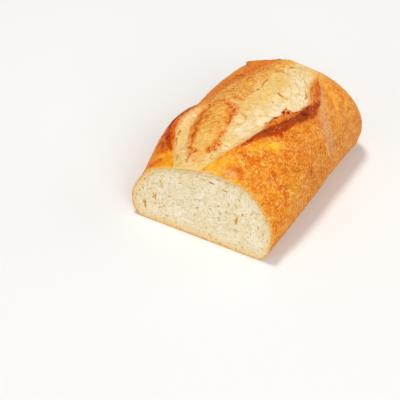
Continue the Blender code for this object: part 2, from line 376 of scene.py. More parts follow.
def spot_field(pts, wander=0.0012, seed=201, widen=1.0, cone=False):
    """The same in space: points are x, y, z, strength, half width in mm."""
    w = wandered(wander, seed)
    lo = (min(q[1] for q in pts) - 16) * MM
    hi = (max(q[1] for q in pts) + 16) * MM
    rows = np.flatnonzero((Y.max(axis=1) > lo) & (Y.min(axis=1) < hi))
    out = np.zeros(X.shape)
    r0, r1 = rows[0], rows[-1] + 1
    w = w[r0:r1]
    best = np.full(w.shape[:2], 9.0)
    power = np.zeros(w.shape[:2])
    wide = np.full(w.shape[:2], 1.0)
    for a, b in zip(pts[:-1], pts[1:]):
        a, b = np.array(a, float), np.array(b, float)
        e = (b[:3] - a[:3]) * MM
        q = w - a[:3] * MM
        t = np.clip((q @ e) / max(e @ e, 1e-12), 0, 1)
        d = np.linalg.norm(q - t[..., None] * e, axis=-1)
        hit = d < best
        best = np.where(hit, d, best)
        power = np.where(hit, a[3] + t * (b[3] - a[3]), power)
        wide = np.where(hit, (a[4] + t * (b[4] - a[4])) * MM, wide)
    if cone:
        out[r0:r1] = power * np.clip(1 - best / (wide * widen + 0.0009), 0, 1)
    else:
        out[r0:r1] = power * np.exp(-(best / (wide * widen)) ** 2)
    return out


def fields(table, wander=0.0007, seed=501, widen=1.0, cone=False):
    out = np.zeros(X.shape)
    for pts in table:
        out = np.maximum(out, spot_field(pts, wander, seed, widen, cone))
    return np.clip(out, 0.0, 1.2)


# Marks of the bake, as short lines on the crust: x, y, z, strength, half width, in mm.
STREAKS = (
    ((-20.1, 73.1, 69.1, 0.5, 0.8), (-16.9, 70.9, 69.6, 1, 0.9), (-14.9, 70.9, 70.0, 1, 0.9), (-12.4, 70.1,
     70.3, 1, 0.9), (-9.8, 68.0, 70.3, 1, 1.1), (-8.5, 65.7, 70.1, 1.2, 1.2), (-8.5, 63.6, 69.6, 1.2, 1.2),
     (-7.6, 61.5, 69.2, 1, 1.1), (-6.4, 59.0, 68.7, 0.9, 1), (-6.4, 57.1, 68.1, 1, 1), (-6.5, 55.0, 67.5,
     0.9, 1), (-6.1, 52.7, 66.8, 0.7, 0.9), (-5.4, 50.7, 66.2, 0.4, 0.8)),
    ((-28.8, 53.0, 62.2, 0.7, 1), (-28.5, 50.3, 61.4, 1, 1.2), (-27.7, 47.8, 60.9, 1.2, 1.4), (-30.3, 47.8,
     60.0, 0.9, 1.3), (-29.1, 44.5, 59.3, 0.8, 1), (-25.4, 42.0, 59.7, 0.9, 0.9), (-26.6, 40.3, 58.7, 1,
     1.1), (-26.8, 38.8, 58.1, 1.1, 1.3), (-25.3, 36.6, 57.8, 1.1, 1.1), (-24.1, 34.2, 57.1, 0.6, 0.9),
     (-23.8, 31.8, 56.1, 0.6, 0.9), (-23.8, 29.5, 55.1, 0.4, 0.8), (-23.6, 27.8, 54.4, 0.7, 0.9), (-21.2, 27.2,
     54.6, 0.8, 0.7), (-17.8, 26.5, 55.1, 0.9, 0.7), (-15.9, 27.1, 55.7, 0.4, 0.7)),
    ((-22.0, 25.8, 53.8, 0.4, 0.7), (-22.1, 23.7, 52.8, 0.5, 0.8), (-21.2, 21.4, 52.0, 0.4, 0.8), (-20.7,
     18.6, 50.8, 0.5, 0.8), (-20.1, 17.5, 50.4, 0.4, 0.7)),
    ((-30.7, 69.6, 65.3, 0.9, 0.7), (-31.2, 66.7, 64.7, 0.8, 0.8), (-29.4, 63.1, 64.7, 0.9, 1), (-30.9,
     61.5, 63.8, 0.8, 0.9), (-31.4, 58.8, 62.9, 0.9, 0.8), (-30.0, 54.8, 62.3, 0.7, 0.9)),
    ((-5.5, 36.6, 61.3, 0.9, 1), (-5.0, 34.8, 60.7, 1, 1.1), (-5.1, 33.0, 59.9, 0.8, 0.9), (-7.0, 31.2,
     58.9, 0.5, 0.8), (-8.8, 30.2, 58.2, 0.7, 0.9), (-7.1, 29.7, 58.2, 0.8, 0.9), (-7.9, 28.3, 57.4, 0.7,
     0.8)),
    ((-4.7, 47.2, 65.1, 0.5, 0.8), (-5.6, 44.3, 64.1, 0.7, 1), (-6.0, 41.6, 63.1, 0.7, 0.9), (-5.9, 39.7,
     62.5, 0.3, 0.8)),
    ((-24.8, 55.4, 64.3, 0.8, 0.9), (-21.8, 53.9, 64.7, 0.5, 0.8)),
    ((-27.8, 69.8, 66.4, 0.5, 0.6), (-25.1, 69.8, 67.3, 0.6, 0.6), (-23.6, 71.8, 68.0, 0.5, 0.7), (-21.4,
     74.0, 68.8, 0.6, 0.8), (-20.9, 77.4, 69.0, 0.4, 0.7)),
    ((-14.9, 82.5, 70.2, 0.9, 0.6), (-13.2, 80.0, 70.5, 1, 0.6), (-11.0, 79.8, 70.8, 0.9, 0.6), (-8.7, 78.8,
     71.1, 0.6, 0.6)),
    ((-11.6, 85.0, 70.7, 0.5, 0.5), (-8.6, 87.1, 71.1, 0.5, 0.5)),
    ((-41.3, 106.4, 59.7, 0.6, 1), (-38.3, 99.5, 61.7, 0.9, 0.9)),
    ((-23.5, 93.2, 68.2, 0.6, 0.6), (-19.4, 93.5, 69.3, 0.5, 0.6)),
    ((-26.5, 89.1, 67.2, 0.5, 0.7), (-22.3, 87.7, 68.6, 0.5, 0.6)),
    ((-23.9, 48.0, 62.2, 0.6, 0.6), (-22.0, 49.4, 63.1, 0.5, 0.5)),
    ((-4.3, 29.7, 58.6, 0.6, 0.6), (-3.9, 30.5, 59.0, 0.5, 0.5)),
    ((-18.5, 108.3, 69.4, 0.8, 0.6), (-19.9, 113.6, 69.1, 0.5, 0.6), (-18.7, 115.3, 69.3, 0.3, 0.6)),
    ((-14.3, 107.0, 70.3, 0.5, 0.5), (-12.4, 109.2, 70.6, 0.3, 0.5)),
    ((-4.7, 128.1, 70.3, 0.6, 0.6), (-4.4, 132.8, 69.7, 0.6, 0.6), (-2.3, 133.8, 69.7, 0.6, 0.6), (0.0,
     130.7, 70.1, 0.4, 0.5)),
    ((-0.9, 141.3, 68.6, 0.8, 0.5), (1.8, 145.2, 68.0, 0.7, 0.5)),
    ((-12.9, 136.8, 68.4, 0.6, 0.6), (-11.2, 140.5, 68.1, 0.4, 0.6)),
    ((-20.1, 136.3, 67.0, 0.6, 0.7), (-12.7, 130.4, 69.3, 0.6, 0.7)),
    ((-17.8, 121.0, 69.2, 0.5, 0.9), (-17.8, 127.5, 68.6, 0.5, 0.9)),
)
CRACK = (
    ((-7.5, 88.9, 71.2, 0.4, 0.6), (-7.3, 90.9, 71.2, 0.8, 0.7), (-6.5, 93.6, 71.2, 0.9, 0.7), (-5.7, 94.8,
     71.3, 0.2, 0.5), (-4.9, 96.8, 71.3, 1.1, 0.8), (-4.2, 98.7, 71.3, 0.5, 0.6), (-4.4, 103.1, 71.3, 0.8,
     0.7), (-5.1, 106.1, 71.3, 1, 0.7), (-5.4, 110.1, 71.3, 0.8, 0.7), (-5.5, 112.3, 71.3, 1, 0.8), (-5.4,
     115.1, 71.2, 0.7, 0.6), (-3.9, 117.2, 71.2, 0.5, 0.6)),
)
OLIVE = (
    ((23.1, 121.7, 67.2, 0.5, 0.5), (25.4, 119.4, 66.5, 0.7, 0.55), (26.8, 117.0, 66.0, 0.8, 0.55), (27.4,
     113.5, 65.9, 0.8, 0.5)),
    ((9.7, 101.6, 70.7, 0.9, 0.7), (11.9, 100.5, 70.4, 1, 0.8), (13.8, 100.2, 70.1, 0.8, 0.8)),
    ((16.5, 99.9, 69.5, 0.5, 0.8), (18.5, 100.9, 69.0, 0.6, 0.8), (18.9, 102.7, 68.9, 0.4, 0.7)),
    ((21.7, 92.2, 68.0, 0.6, 0.6), (22.9, 89.2, 67.7, 0.8, 0.6)),
    ((11.4, 88.9, 70.5, 0.6, 0.8), (11.9, 88.7, 70.4, 0.6, 0.8)),
    ((-37.7, 35.0, 52.5, 0.9, 0.6), (-37.9, 33.2, 51.7, 0.9, 0.6)),
    ((-38.4, 41.5, 54.5, 0.7, 0.6), (-38.1, 39.3, 54.0, 0.8, 0.6), (-38.0, 37.6, 53.4, 0.5, 0.5)),
    ((-36.7, 32.0, 51.8, 0.6, 0.5), (-36.1, 30.1, 51.3, 0.5, 0.5)),
    ((-31.1, 22.3, 49.7, 0.5, 0.5), (-30.4, 20.4, 49.1, 0.6, 0.5), (-29.8, 18.4, 48.4, 0.4, 0.5)),
    ((-41.6, 48.8, 54.9, 0.3, 0.6), (-40.7, 46.8, 54.9, 0.5, 0.7)),
    ((-5.2, 26.1, 56.8, 0.6, 0.7), (-4.6, 25.7, 56.7, 0.5, 0.6)),
    ((1.9, 35.5, 61.7, 0.6, 0.8), (3.4, 35.8, 61.9, 0.3, 0.7)),
    ((4.3, 147.4, 67.5, 0.4, 0.5), (6.9, 150.2, 66.7, 0.4, 0.5)),
    ((8.9, 148.6, 66.9, 0.3, 0.5), (11.7, 144.7, 67.2, 0.3, 0.5)),
    ((1.8, 115.9, 71.3, 0.5, 0.6), (3.8, 116.0, 71.2, 0.6, 0.6), (5.0, 117.0, 71.1, 0.4, 0.6)),
    ((-11.0, 117.0, 70.7, 0.6, 0.6), (-10.4, 113.3, 70.8, 0.4, 0.6)),
    ((-8.9, 21.1, 53.9, 0.4, 0.5), (-10.2, 20.6, 53.5, 0.4, 0.5)),
)
GOLD = (
    ((12.5, 101.1, 70.3, 0.8, 1.6), (15.2, 100.7, 69.8, 0.9, 2.4), (17.6, 101.9, 69.2, 0.7, 1.8)),
    ((-4.7, 50.9, 66.4, 0.6, 1), (-4.5, 49.1, 65.8, 0.5, 1)),
    ((1.5, 62.0, 69.7, 0.5, 1), (3.7, 60.1, 69.1, 0.4, 1)),
    ((-8.2, 77.4, 71.1, 0.7, 1.6), (-5.0, 73.2, 71.2, 0.8, 1.8), (-4.9, 69.9, 70.9, 0.5, 1.4)),
    ((-27.4, 15.2, 47.7, 0.8, 1.6), (-24.4, 15.9, 48.7, 0.8, 1.8)),
    ((-7.1, 17.8, 52.7, 0.5, 1.5), (-3.8, 16.7, 52.8, 0.6, 1.5)),
    ((17.6, 146.5, 65.8, 0.6, 2.2), (20.4, 148.5, 64.7, 0.6, 2)),
    ((11.0, 114.3, 70.5, 0.25, 3), (11.4, 118.6, 70.3, 0.25, 3)),
    ((-14.0, 19.3, 52.4, 0.5, 0.8), (-12.1, 16.6, 51.4, 0.4, 0.8)),
    ((-6.8, 18.7, 53.1, 0.5, 1.2), (-10.2, 14.7, 50.8, 0.5, 1.2)),
)
REDGOLD = (
    ((-16.6, 73.9, 69.9, 0.7, 1.4), (-12.5, 72.4, 70.5, 0.9, 1.8), (-8.6, 71.5, 70.8, 0.8, 1.8), (-8.4,
     74.7, 71.1, 0.6, 1.4)),
    ((-32.2, 50.5, 60.1, 0.7, 1.8), (-30.4, 46.4, 59.5, 0.7, 1.6)),
    ((-27.7, 39.9, 58.2, 0.6, 1.4), (-25.6, 36.7, 57.7, 0.6, 1.4)),
    ((-6.8, 34.1, 60.2, 0.5, 1.8), (-7.2, 31.8, 59.1, 0.5, 1.8)),
    ((-9.7, 64.4, 69.7, 0.6, 2), (-7.4, 59.6, 68.8, 0.6, 2), (-6.2, 55.2, 67.6, 0.6, 2)),
    ((-32.0, 66.4, 64.3, 0.6, 1.6), (-31.3, 61.6, 63.6, 0.7, 1.8), (-29.5, 54.2, 62.3, 0.6, 1.6)),
    ((-35.1, 59.6, 61.5, 0.3, 1.2), (-34.1, 66.5, 63.3, 0.3, 1.2)),
    ((-5.5, 43.4, 63.8, 0.4, 1.8), (-3.3, 46.8, 65.1, 0.4, 1.6)),
    ((-11.9, 95.1, 70.7, 0.5, 2.4), (-9.0, 92.7, 71.0, 0.6, 2)),
    ((-23.6, 104.4, 68.1, 0.4, 3), (-14.7, 97.3, 70.3, 0.4, 3)),
    ((-4.2, 131.6, 69.9, 0.5, 2), (-1.0, 130.1, 70.2, 0.5, 1.8)),
    ((-16.1, 149.6, 65.8, 0.5, 1.6), (-10.4, 153.2, 65.8, 0.5, 1.4)),
)
CORE = (
    ((13.3, 40.6, 62.6, 0.5, 1), (15.9, 46.4, 63.8, 0.8, 1.6), (19.1, 52.3, 64.9, 0.9, 2.2), (21.5, 56.9,
     65.4, 1, 2.6), (24.0, 61.3, 65.7, 1, 3.2), (27.1, 66.0, 65.3, 1, 4.2), (29.5, 70.8, 64.9, 0.95, 3.8),
     (30.4, 76.8, 64.7, 0.95, 3), (32.2, 84.6, 63.7, 0.95, 2.8), (33.9, 91.1, 62.7, 1, 3), (35.1, 97.2,
     61.9, 1, 3.2), (36.2, 103.6, 61.2, 0.95, 3), (37.0, 110.7, 60.6, 0.85, 2.8), (36.3, 117.0, 61.0, 0.8,
     2), (35.1, 120.1, 61.6, 0.6, 1.4)),
    ((30.0, 66.6, 64.1, 0.8, 1.8), (31.8, 64.8, 63.0, 1, 1.3)),
)
DARKEST = (
    ((32.5, 85.7, 63.5, 0.8, 1.2), (34.4, 87.7, 62.5, 1, 1.4)),
    ((33.4, 93.0, 63.0, 0.9, 1.2), (35.1, 96.2, 61.9, 1, 1.8), (35.8, 100.8, 61.4, 0.9, 1.6)),
    ((35.0, 119.3, 61.7, 0.7, 0.9), (36.3, 117.9, 61.0, 0.6, 1)),
    ((18.4, 54.1, 65.5, 0.6, 0.8), (21.7, 59.8, 66.1, 0.7, 0.9), (24.1, 63.7, 66.1, 0.7, 0.8)),
    ((26.1, 68.3, 66.0, 0.7, 0.8), (28.0, 74.0, 65.7, 0.7, 0.8), (29.9, 79.9, 64.9, 0.7, 0.8), (31.5, 86.5,
     64.0, 0.6, 0.8)),
    ((33.8, 105.5, 62.6, 0.8, 0.6), (33.1, 101.3, 63.1, 0.8, 0.6)),
    ((30.8, 121.1, 64.0, 0.5, 0.6), (32.7, 117.6, 63.2, 0.5, 0.6)),
    ((26.0, 137.4, 64.5, 0.5, 0.7), (27.4, 135.0, 64.2, 0.5, 0.7)),
)
# dark dots where small holes go into the torn flap: painted shade
FLAPDARK = (
    ((22.5, 83.5, 67.8, 0.6, 0.7), (22.6, 85.1, 67.8, 1.1, 0.9), (23.4, 83.8, 67.5, 0.8, 0.7)),
    ((25.1, 87.4, 66.9, 0.9, 0.7), (25.8, 88.4, 66.6, 0.9, 0.6)),
    ((28.0, 93.3, 65.6, 0.6, 0.6), (29.3, 95.3, 65.1, 0.7, 0.6)),
    ((20.9, 73.6, 68.3, 0.7, 0.6), (21.8, 75.9, 68.1, 0.8, 0.6)),
    ((19.6, 69.8, 68.4, 0.5, 0.5), (20.3, 71.5, 68.3, 0.5, 0.5)),
    ((23.4, 90.4, 67.5, 0.5, 0.5), (24.7, 90.4, 67.0, 0.6, 0.5)),
)
LEFTRED = (
    ((-37.3, 25.1, 48.5, 0.8, 1.6), (-39.5, 28.8, 49.0, 1, 2.4), (-42.6, 33.3, 49.0, 1, 3), (-45.0, 37.5,
     49.1, 1, 3), (-47.0, 42.2, 49.3, 1, 2.6), (-47.1, 45.9, 50.2, 0.9, 2.2), (-46.3, 49.5, 51.9, 0.8, 2),
     (-44.6, 52.6, 54.0, 0.7, 1.6)),
    ((-46.0, 28.6, 46.0, 0.7, 2.6), (-49.4, 32.6, 45.6, 0.85, 3.2), (-52.6, 34.6, 42.0, 0.7, 3.0)),
    ((-49.0, 38.4, 47.4, 0.8, 2.6), (-53.6, 40.6, 42.6, 0.6, 2.6)),
)
LEFTEDGE = (
    ((-36.6, 24.4, 48.6, 0.8, 0.6), (-37.6, 26.8, 49.2, 0.9, 0.6), (-38.7, 29.4, 49.7, 0.6, 0.7)),
)
LEFTLINE = (
    ((-47.1, 44.7, 49.9, 0.8, 1), (-47.1, 47.9, 50.8, 1, 1.2), (-46.2, 50.0, 52.1, 1, 1.2), (-45.6, 52.4,
     53.2, 1, 1.3), (-43.5, 53.5, 55.0, 0.9, 1.1), (-40.7, 54.3, 57.1, 0.8, 1), (-39.0, 56.5, 58.6, 0.7,
     0.9), (-38.2, 59.7, 59.9, 0.6, 0.8), (-36.8, 64.4, 61.7, 0.6, 0.8), (-45.6, 83.7, 57.1, 0.5, 0.8)),
)
LEFTORANGE = (
    ((-46.3, 29.6, 44.9, 0.9, 3.4), (-42.0, 25.9, 46.4, 0.8, 2.6), (-48.2, 27.3, 42.6, 0.7, 2.6)),
    ((-42.6, 47.6, 53.9, 0.6, 2), (-40.7, 50.8, 56.1, 0.6, 2), (-39.4, 55.3, 58.1, 0.5, 1.8)),
)
LEFTDEEP = (
    ((-44.8, 18.1, 41.9, 0.8, 2.4), (-47.2, 16.1, 40.0, 1, 3), (-49.8, 14.6, 37.7, 1, 2.8), (-54.3, 17.3,
     32.3, 0.8, 2)),
)
LEFTYELLOW = (
    ((-36.2, 22.1, 47.7, 0.9, 2.2), (-41.4, 21.9, 45.2, 0.9, 2.4), (-46.9, 22.2, 41.7, 0.8, 2)),
    ((-33.7, 18.7, 47.2, 0.8, 2), (-32.8, 15.5, 46.2, 1, 2.8), (-34.6, 12.8, 44.6, 1, 2.4)),
)
STRIPRED = (
    ((-45.2, 97.0, 57.1, 0.4, 1.2), (-44.8, 104.2, 57.3, 0.6, 1.4), (-40.5, 104.9, 60.3, 0.8, 1.6), (-38.7,
     113.2, 61.2, 0.9, 1.6), (-37.1, 121.8, 61.8, 1, 2.2), (-33.0, 122.6, 63.9, 1, 2.4), (-30.5, 128.1,
     64.5, 0.9, 2.4), (-27.5, 130.9, 65.4, 0.9, 2.4), (-26.0, 138.3, 65.0, 0.9, 2.2), (-22.8, 142.4, 65.4,
     0.9, 1.8), (-17.6, 143.6, 66.5, 0.7, 1.2)),
    ((-45.1, 149.1, 53.3, 0.6, 1.4), (-38.8, 147.2, 57.8, 0.7, 1.4)),
)
STRIPDARK = (
    ((-38.5, 124.6, 60.7, 0.8, 0.6), (-33.2, 123.0, 63.8, 1, 0.7), (-27.5, 118.7, 66.5, 0.8, 0.6)),
    ((-40.9, 109.0, 60.0, 0.8, 0.5), (-38.2, 109.9, 61.6, 0.6, 0.5)),
    ((-44.7, 140.3, 54.9, 0.8, 0.7), (-42.9, 140.4, 56.1, 0.7, 0.7)),
    ((-36.6, 118.4, 62.3, 0.6, 0.6), (-33.7, 117.3, 63.9, 0.6, 0.6)),
)
YELLOW = (
    ((-0.6, 19.7, 54.8, 1, 2.6), (1.8, 16.9, 54.0, 1, 2.6), (5.8, 19.8, 55.4, 0.9, 3), (6.7, 24.2, 57.2,
     0.6, 3)),
    ((-3.6, 14.7, 52.0, 0.7, 1.4), (3.9, 14.6, 53.1, 0.7, 1.4)),
    ((25.3, 48.1, 62.0, 0.7, 3), (30.0, 53.3, 61.5, 1, 4), (33.4, 54.7, 60.2, 1, 3.4), (34.6, 50.8, 58.6,
     0.5, 3)),
    ((22.0, 40.6, 61.0, 0.5, 3.4), (24.7, 44.6, 61.3, 0.5, 3)),
    ((14.3, 31.0, 59.2, 0.4, 2.4), (10.5, 27.5, 58.3, 0.5, 2.6)),
    ((31.1, 13.8, 49.4, 0.5, 1.6), (36.1, 13.4, 47.2, 0.4, 1.4)),
)
PALEFLANK = (
    ((41.4, 66.2, 57.0, 0.95, 3.4), (45.0, 62.0, 53.6, 0.5, 2.4)),
    ((36.8, 53.2, 57.9, 0.7, 2.8), (38.6, 57.6, 57.8, 0.6, 2.6)),
    ((49.1, 75.3, 50.2, 0.8, 3.4), (45.6, 81.6, 54.0, 0.8, 3.4), (48.9, 98.7, 50.0, 0.7, 3.4)),
    ((38.8, 111.0, 59.2, 0.7, 2.8), (37.0, 122.0, 59.6, 0.7, 2.6), (30.6, 134.0, 62.6, 0.6, 2.2)),
)
BRUISE = (
    ((54.4, 70.4, 42.2, 0.7, 1.5), (55.9, 68.1, 39.1, 0.9, 2.1), (57.0, 65.8, 36.2, 0.7, 1.7)),
    ((49.6, 57.6, 47.8, 0.5, 1.5), (51.0, 55.3, 45.7, 0.6, 1.7)),
)
TIPGLOW = (
    ((25.0, 124.0, 66.3, 0.8, 4.2), (30.0, 117.0, 64.6, 0.9, 4.2), (34.2, 110.2, 62.4, 0.8, 3.8)),
)
FLANKRED = (
    ((9.8, 36.9, 61.9, 0.8, 1.6), (13.4, 35.6, 61.0, 0.8, 2), (18.4, 33.9, 59.7, 0.8, 2.4), (23.0, 33.0,
     58.5, 0.5, 2.2)),
    ((25.1, 41.0, 60.3, 0.4, 2.6), (31.4, 41.4, 58.0, 0.6, 3.4), (34.6, 44.5, 57.1, 0.4, 3)),
    ((41.6, 34.8, 50.2, 0.8, 3), (46.9, 34.3, 45.4, 0.9, 3.4), (50.9, 36.6, 41.7, 0.8, 3)),
    ((53.6, 35.0, 37.5, 0.7, 2.4), (54.7, 30.1, 34.1, 0.7, 2.6), (54.2, 23.5, 33.0, 0.6, 2.8)),
    ((43.2, 79.3, 56.3, 0.6, 2.6), (47.0, 79.0, 52.6, 0.5, 2.2)),
    ((53.3, 67.6, 44.0, 0.5, 1.8), (55.9, 68.1, 39.1, 0.8, 2), (56.9, 64.6, 36.3, 0.5, 1.8)),
    ((59.2, 68.1, 25.4, 0.4, 1.6), (59.0, 66.0, 19.2, 0.4, 1.6)),
    ((14.3, 23.6, 56.2, 0.6, 1.4), (12.7, 22.0, 55.7, 0.6, 1.4)),
    ((41.8, 10.7, 42.4, 0.5, 1.4), (44.6, 11.5, 40.3, 0.6, 1.6)),
    ((32.5, 42.5, 57.7, 0.5, 3), (30.6, 33.8, 56.4, 0.5, 3)),
    ((55.1, 14.1, 28.1, 0.4, 2), (57.9, 20.5, 20.7, 0.4, 2)),
    ((6.7, 30.5, 59.8, 0.4, 1.6), (7.6, 31.7, 60.2, 0.4, 1.6)),
)
RUSTSPOT = (
    ((44.5, 44.3, 50.1, 0.8, 0.7), (45.9, 44.7, 48.9, 0.9, 0.8)),
    ((48.3, 50.0, 47.7, 0.8, 0.8), (49.2, 51.5, 47.0, 0.7, 0.7)),
    ((50.1, 55.3, 46.7, 0.6, 0.9), (51.7, 56.3, 44.8, 0.8, 1), (51.5, 53.6, 44.7, 0.6, 0.7)),
    ((48.1, 32.4, 43.7, 0.8, 0.7), (46.6, 31.9, 45.0, 0.6, 0.7)),
    ((55.8, 69.1, 39.5, 0.7, 1.2), (56.6, 67.6, 37.4, 0.7, 1.3)),
    ((17.8, 23.1, 55.7, 0.9, 0.5), (20.8, 22.2, 54.9, 0.9, 0.6)),
    ((51.7, 21.4, 36.2, 0.7, 0.6), (51.9, 19.4, 35.3, 0.7, 0.6)),
    ((38.5, 87.7, 59.8, 0.6, 1), (40.2, 89.7, 58.5, 0.5, 1)),
    ((56.9, 116.6, 34.6, 0.6, 0.9), (57.9, 116.2, 30.4, 0.5, 0.8)),
    ((52.7, 90.0, 45.0, 0.5, 0.9), (54.3, 88.1, 42.2, 0.4, 1)),
    ((44.5, 12.4, 40.7, 0.6, 0.8), (45.0, 12.9, 40.4, 0.6, 0.7)),
)
STROKES = (
    ((19.0, 36.4, 60.4, 0.9, 0.6), (22.8, 36.2, 59.6, 0.9, 0.6)),
    ((26.3, 39.5, 59.5, 0.8, 0.5), (28.0, 40.8, 59.2, 0.8, 0.5)),
    ((14.4, 30.8, 59.1, 0.6, 0.5), (17.7, 29.2, 58.1, 0.9, 0.6), (21.5, 27.5, 56.8, 0.8, 0.6)),
    ((10.7, 33.2, 60.5, 0.5, 0.6), (14.9, 30.6, 59.0, 0.9, 0.7)),
    ((18.7, 28.9, 57.8, 0.8, 0.6), (21.3, 25.8, 56.2, 0.8, 0.6)),
    ((24.1, 25.1, 55.5, 0.7, 0.5), (26.6, 26.3, 55.3, 0.7, 0.5), (28.6, 29.3, 55.7, 0.8, 0.5)),
    ((30.5, 35.5, 56.9, 0.8, 0.5), (33.5, 35.3, 55.6, 0.9, 0.5)),
    ((39.7, 57.8, 57.0, 0.7, 0.6), (41.2, 56.6, 55.6, 0.6, 0.5)),
    ((38.5, 49.0, 55.8, 0.7, 0.5), (39.1, 46.1, 54.8, 0.7, 0.5)),
    ((34.3, 30.1, 53.7, 0.7, 0.8), (35.5, 30.3, 53.1, 0.8, 0.7)),
    ((37.7, 26.9, 50.9, 0.5, 0.5), (41.4, 26.1, 47.8, 0.8, 0.5), (42.5, 24.8, 46.4, 0.7, 0.5)),
    ((51.2, 29.7, 39.3, 0.8, 0.5), (53.1, 32.1, 37.5, 0.7, 0.5)),
    ((51.2, 34.4, 40.7, 0.8, 0.5), (52.8, 37.8, 39.4, 0.9, 0.5), (53.5, 39.9, 38.9, 0.8, 0.5)),
    ((54.7, 38.5, 36.5, 0.6, 0.5), (55.4, 34.9, 34.2, 0.9, 0.6), (54.4, 33.4, 35.7, 0.6, 0.5)),
    ((55.6, 39.9, 35.0, 0.5, 0.4), (56.3, 35.8, 32.5, 0.6, 0.5)),
    ((44.3, 16.4, 42.1, 0.5, 0.5), (46.0, 13.3, 39.6, 0.7, 0.5), (48.5, 14.7, 37.7, 0.8, 0.5), (50.9, 19.6,
     36.6, 0.8, 0.5), (52.1, 23.7, 36.3, 0.7, 0.5)),
    ((49.7, 22.7, 39.0, 0.6, 0.6), (51.2, 22.4, 37.1, 0.9, 0.7)),
    ((44.2, 18.9, 43.1, 0.5, 0.5), (45.5, 18.8, 41.9, 0.8, 0.6)),
    ((49.0, 26.3, 40.9, 0.6, 0.5), (50.2, 27.1, 39.8, 0.7, 0.5)),
    ((40.2, 19.3, 46.7, 0.6, 0.6), (41.9, 19.2, 45.1, 0.7, 0.7)),
    ((29.1, 32.2, 56.5, 0.5, 0.5), (30.0, 32.0, 56.1, 0.5, 0.5)),
    ((42.8, 29.7, 47.8, 0.6, 0.5), (44.8, 29.9, 46.1, 0.7, 0.5)),
    ((46.8, 34.6, 45.6, 0.8, 1), (47.6, 35.3, 45.0, 0.8, 0.9)),
    ((27.1, 22.4, 53.8, 0.4, 0.5), (27.6, 20.1, 52.8, 0.5, 0.5)),
    ((31.0, 24.1, 53.1, 0.4, 0.5), (32.5, 24.4, 52.7, 0.5, 0.5)),
    ((58.8, 36.2, 22.9, 0.5, 0.5), (58.8, 35.1, 19.9, 0.5, 0.5)),
    ((53.8, 99.1, 42.5, 0.6, 0.6), (55.4, 96.1, 39.4, 0.9, 0.8), (56.8, 93.2, 36.2, 0.7, 0.7)),
    ((44.8, 97.9, 54.4, 0.8, 0.8), (45.9, 97.4, 53.3, 0.7, 0.7)),
    ((48.0, 98.2, 51.0, 0.7, 0.6), (48.8, 97.2, 50.1, 0.6, 0.6)),
    ((48.4, 121.3, 50.2, 0.6, 0.6), (49.1, 120.2, 49.3, 0.5, 0.6)),
    ((44.5, 72.2, 55.0, 0.7, 0.8), (44.6, 73.7, 55.0, 0.6, 0.7)),
    ((35.2, 48.3, 57.7, 0.6, 0.9), (37.0, 47.3, 56.4, 0.5, 0.8)),
)
PALEPATCH = (
    ((38.3, 55.0, 57.3, 0.5, 3), (38.8, 49.3, 55.7, 0.6, 3), (41.8, 48.0, 53.1, 0.4, 3)),
    ((55.9, 49.9, 36.5, 0.5, 3.6), (58.3, 54.4, 30.6, 0.6, 4), (58.0, 46.7, 30.2, 0.6, 3.6)),
    ((53.9, 80.3, 43.3, 0.6, 3), (56.5, 78.9, 37.8, 0.7, 3.4), (57.8, 75.0, 34.3, 0.6, 3)),
    ((58.9, 40.8, 23.5, 0.5, 3), (58.9, 45.5, 25.7, 0.5, 3)),
    ((58.1, 24.9, 22.3, 0.5, 3.4), (57.6, 16.4, 16.2, 0.6, 3.4)),
    ((55.4, 121.1, 38.8, 0.5, 4), (55.9, 133.6, 37.1, 0.5, 4)),
)
# a painted reflection: the light's sheen as a broad pinkish band on the right side toward the far end
PAINTED_SHEEN_BAND = (
    ((29.8, 135.8, 63.1, 0.7, 1.2), (32.6, 131.5, 62.1, 0.8, 1.6), (36.1, 125.2, 60.7, 0.9, 2), (39.2,
     118.6, 58.9, 0.9, 2.6), (42.6, 113.2, 56.3, 0.8, 3.4), (46.7, 108.7, 52.3, 0.8, 4), (50.6, 105.4, 47.6,
     0.9, 4.4), (54.0, 104.5, 42.0, 0.8, 4.4), (56.6, 102.0, 36.1, 0.6, 4)),
)
GOLDBAND = (
    ((25.3, 147.7, 63.3, 0.7, 1.6), (29.9, 145.4, 61.8, 0.8, 2), (34.3, 142.1, 60.0, 0.9, 2.6), (38.5,
     137.0, 57.9, 0.9, 3), (42.9, 135.8, 54.7, 0.9, 2.6), (46.2, 131.4, 52.0, 0.9, 2.8), (48.7, 127.5, 49.4,
     0.5, 2.6)),
)
BLISTER = (
    ((10.1, 16.8, 53.8, 0.7, 1.8), (13.9, 17.1, 53.6, 1, 2.2), (18.3, 16.6, 52.9, 1, 2.4), (21.0, 15.9,
     52.4, 0.8, 1.9)),
)
BLISTER_RED = (
    ((12.2, 22.2, 55.9, 0.6, 1.2), (15.9, 22.2, 55.5, 0.9, 1.5), (20.3, 21.7, 54.8, 1, 1.7), (23.6, 20.1,
     53.7, 1, 1.6), (23.8, 16.7, 52.3, 0.9, 1.3)),
    ((8.2, 14.2, 52.9, 0.5, 1), (11.1, 13.3, 52.3, 0.8, 1.2), (14.4, 13.2, 51.9, 0.7, 1.1)),
)
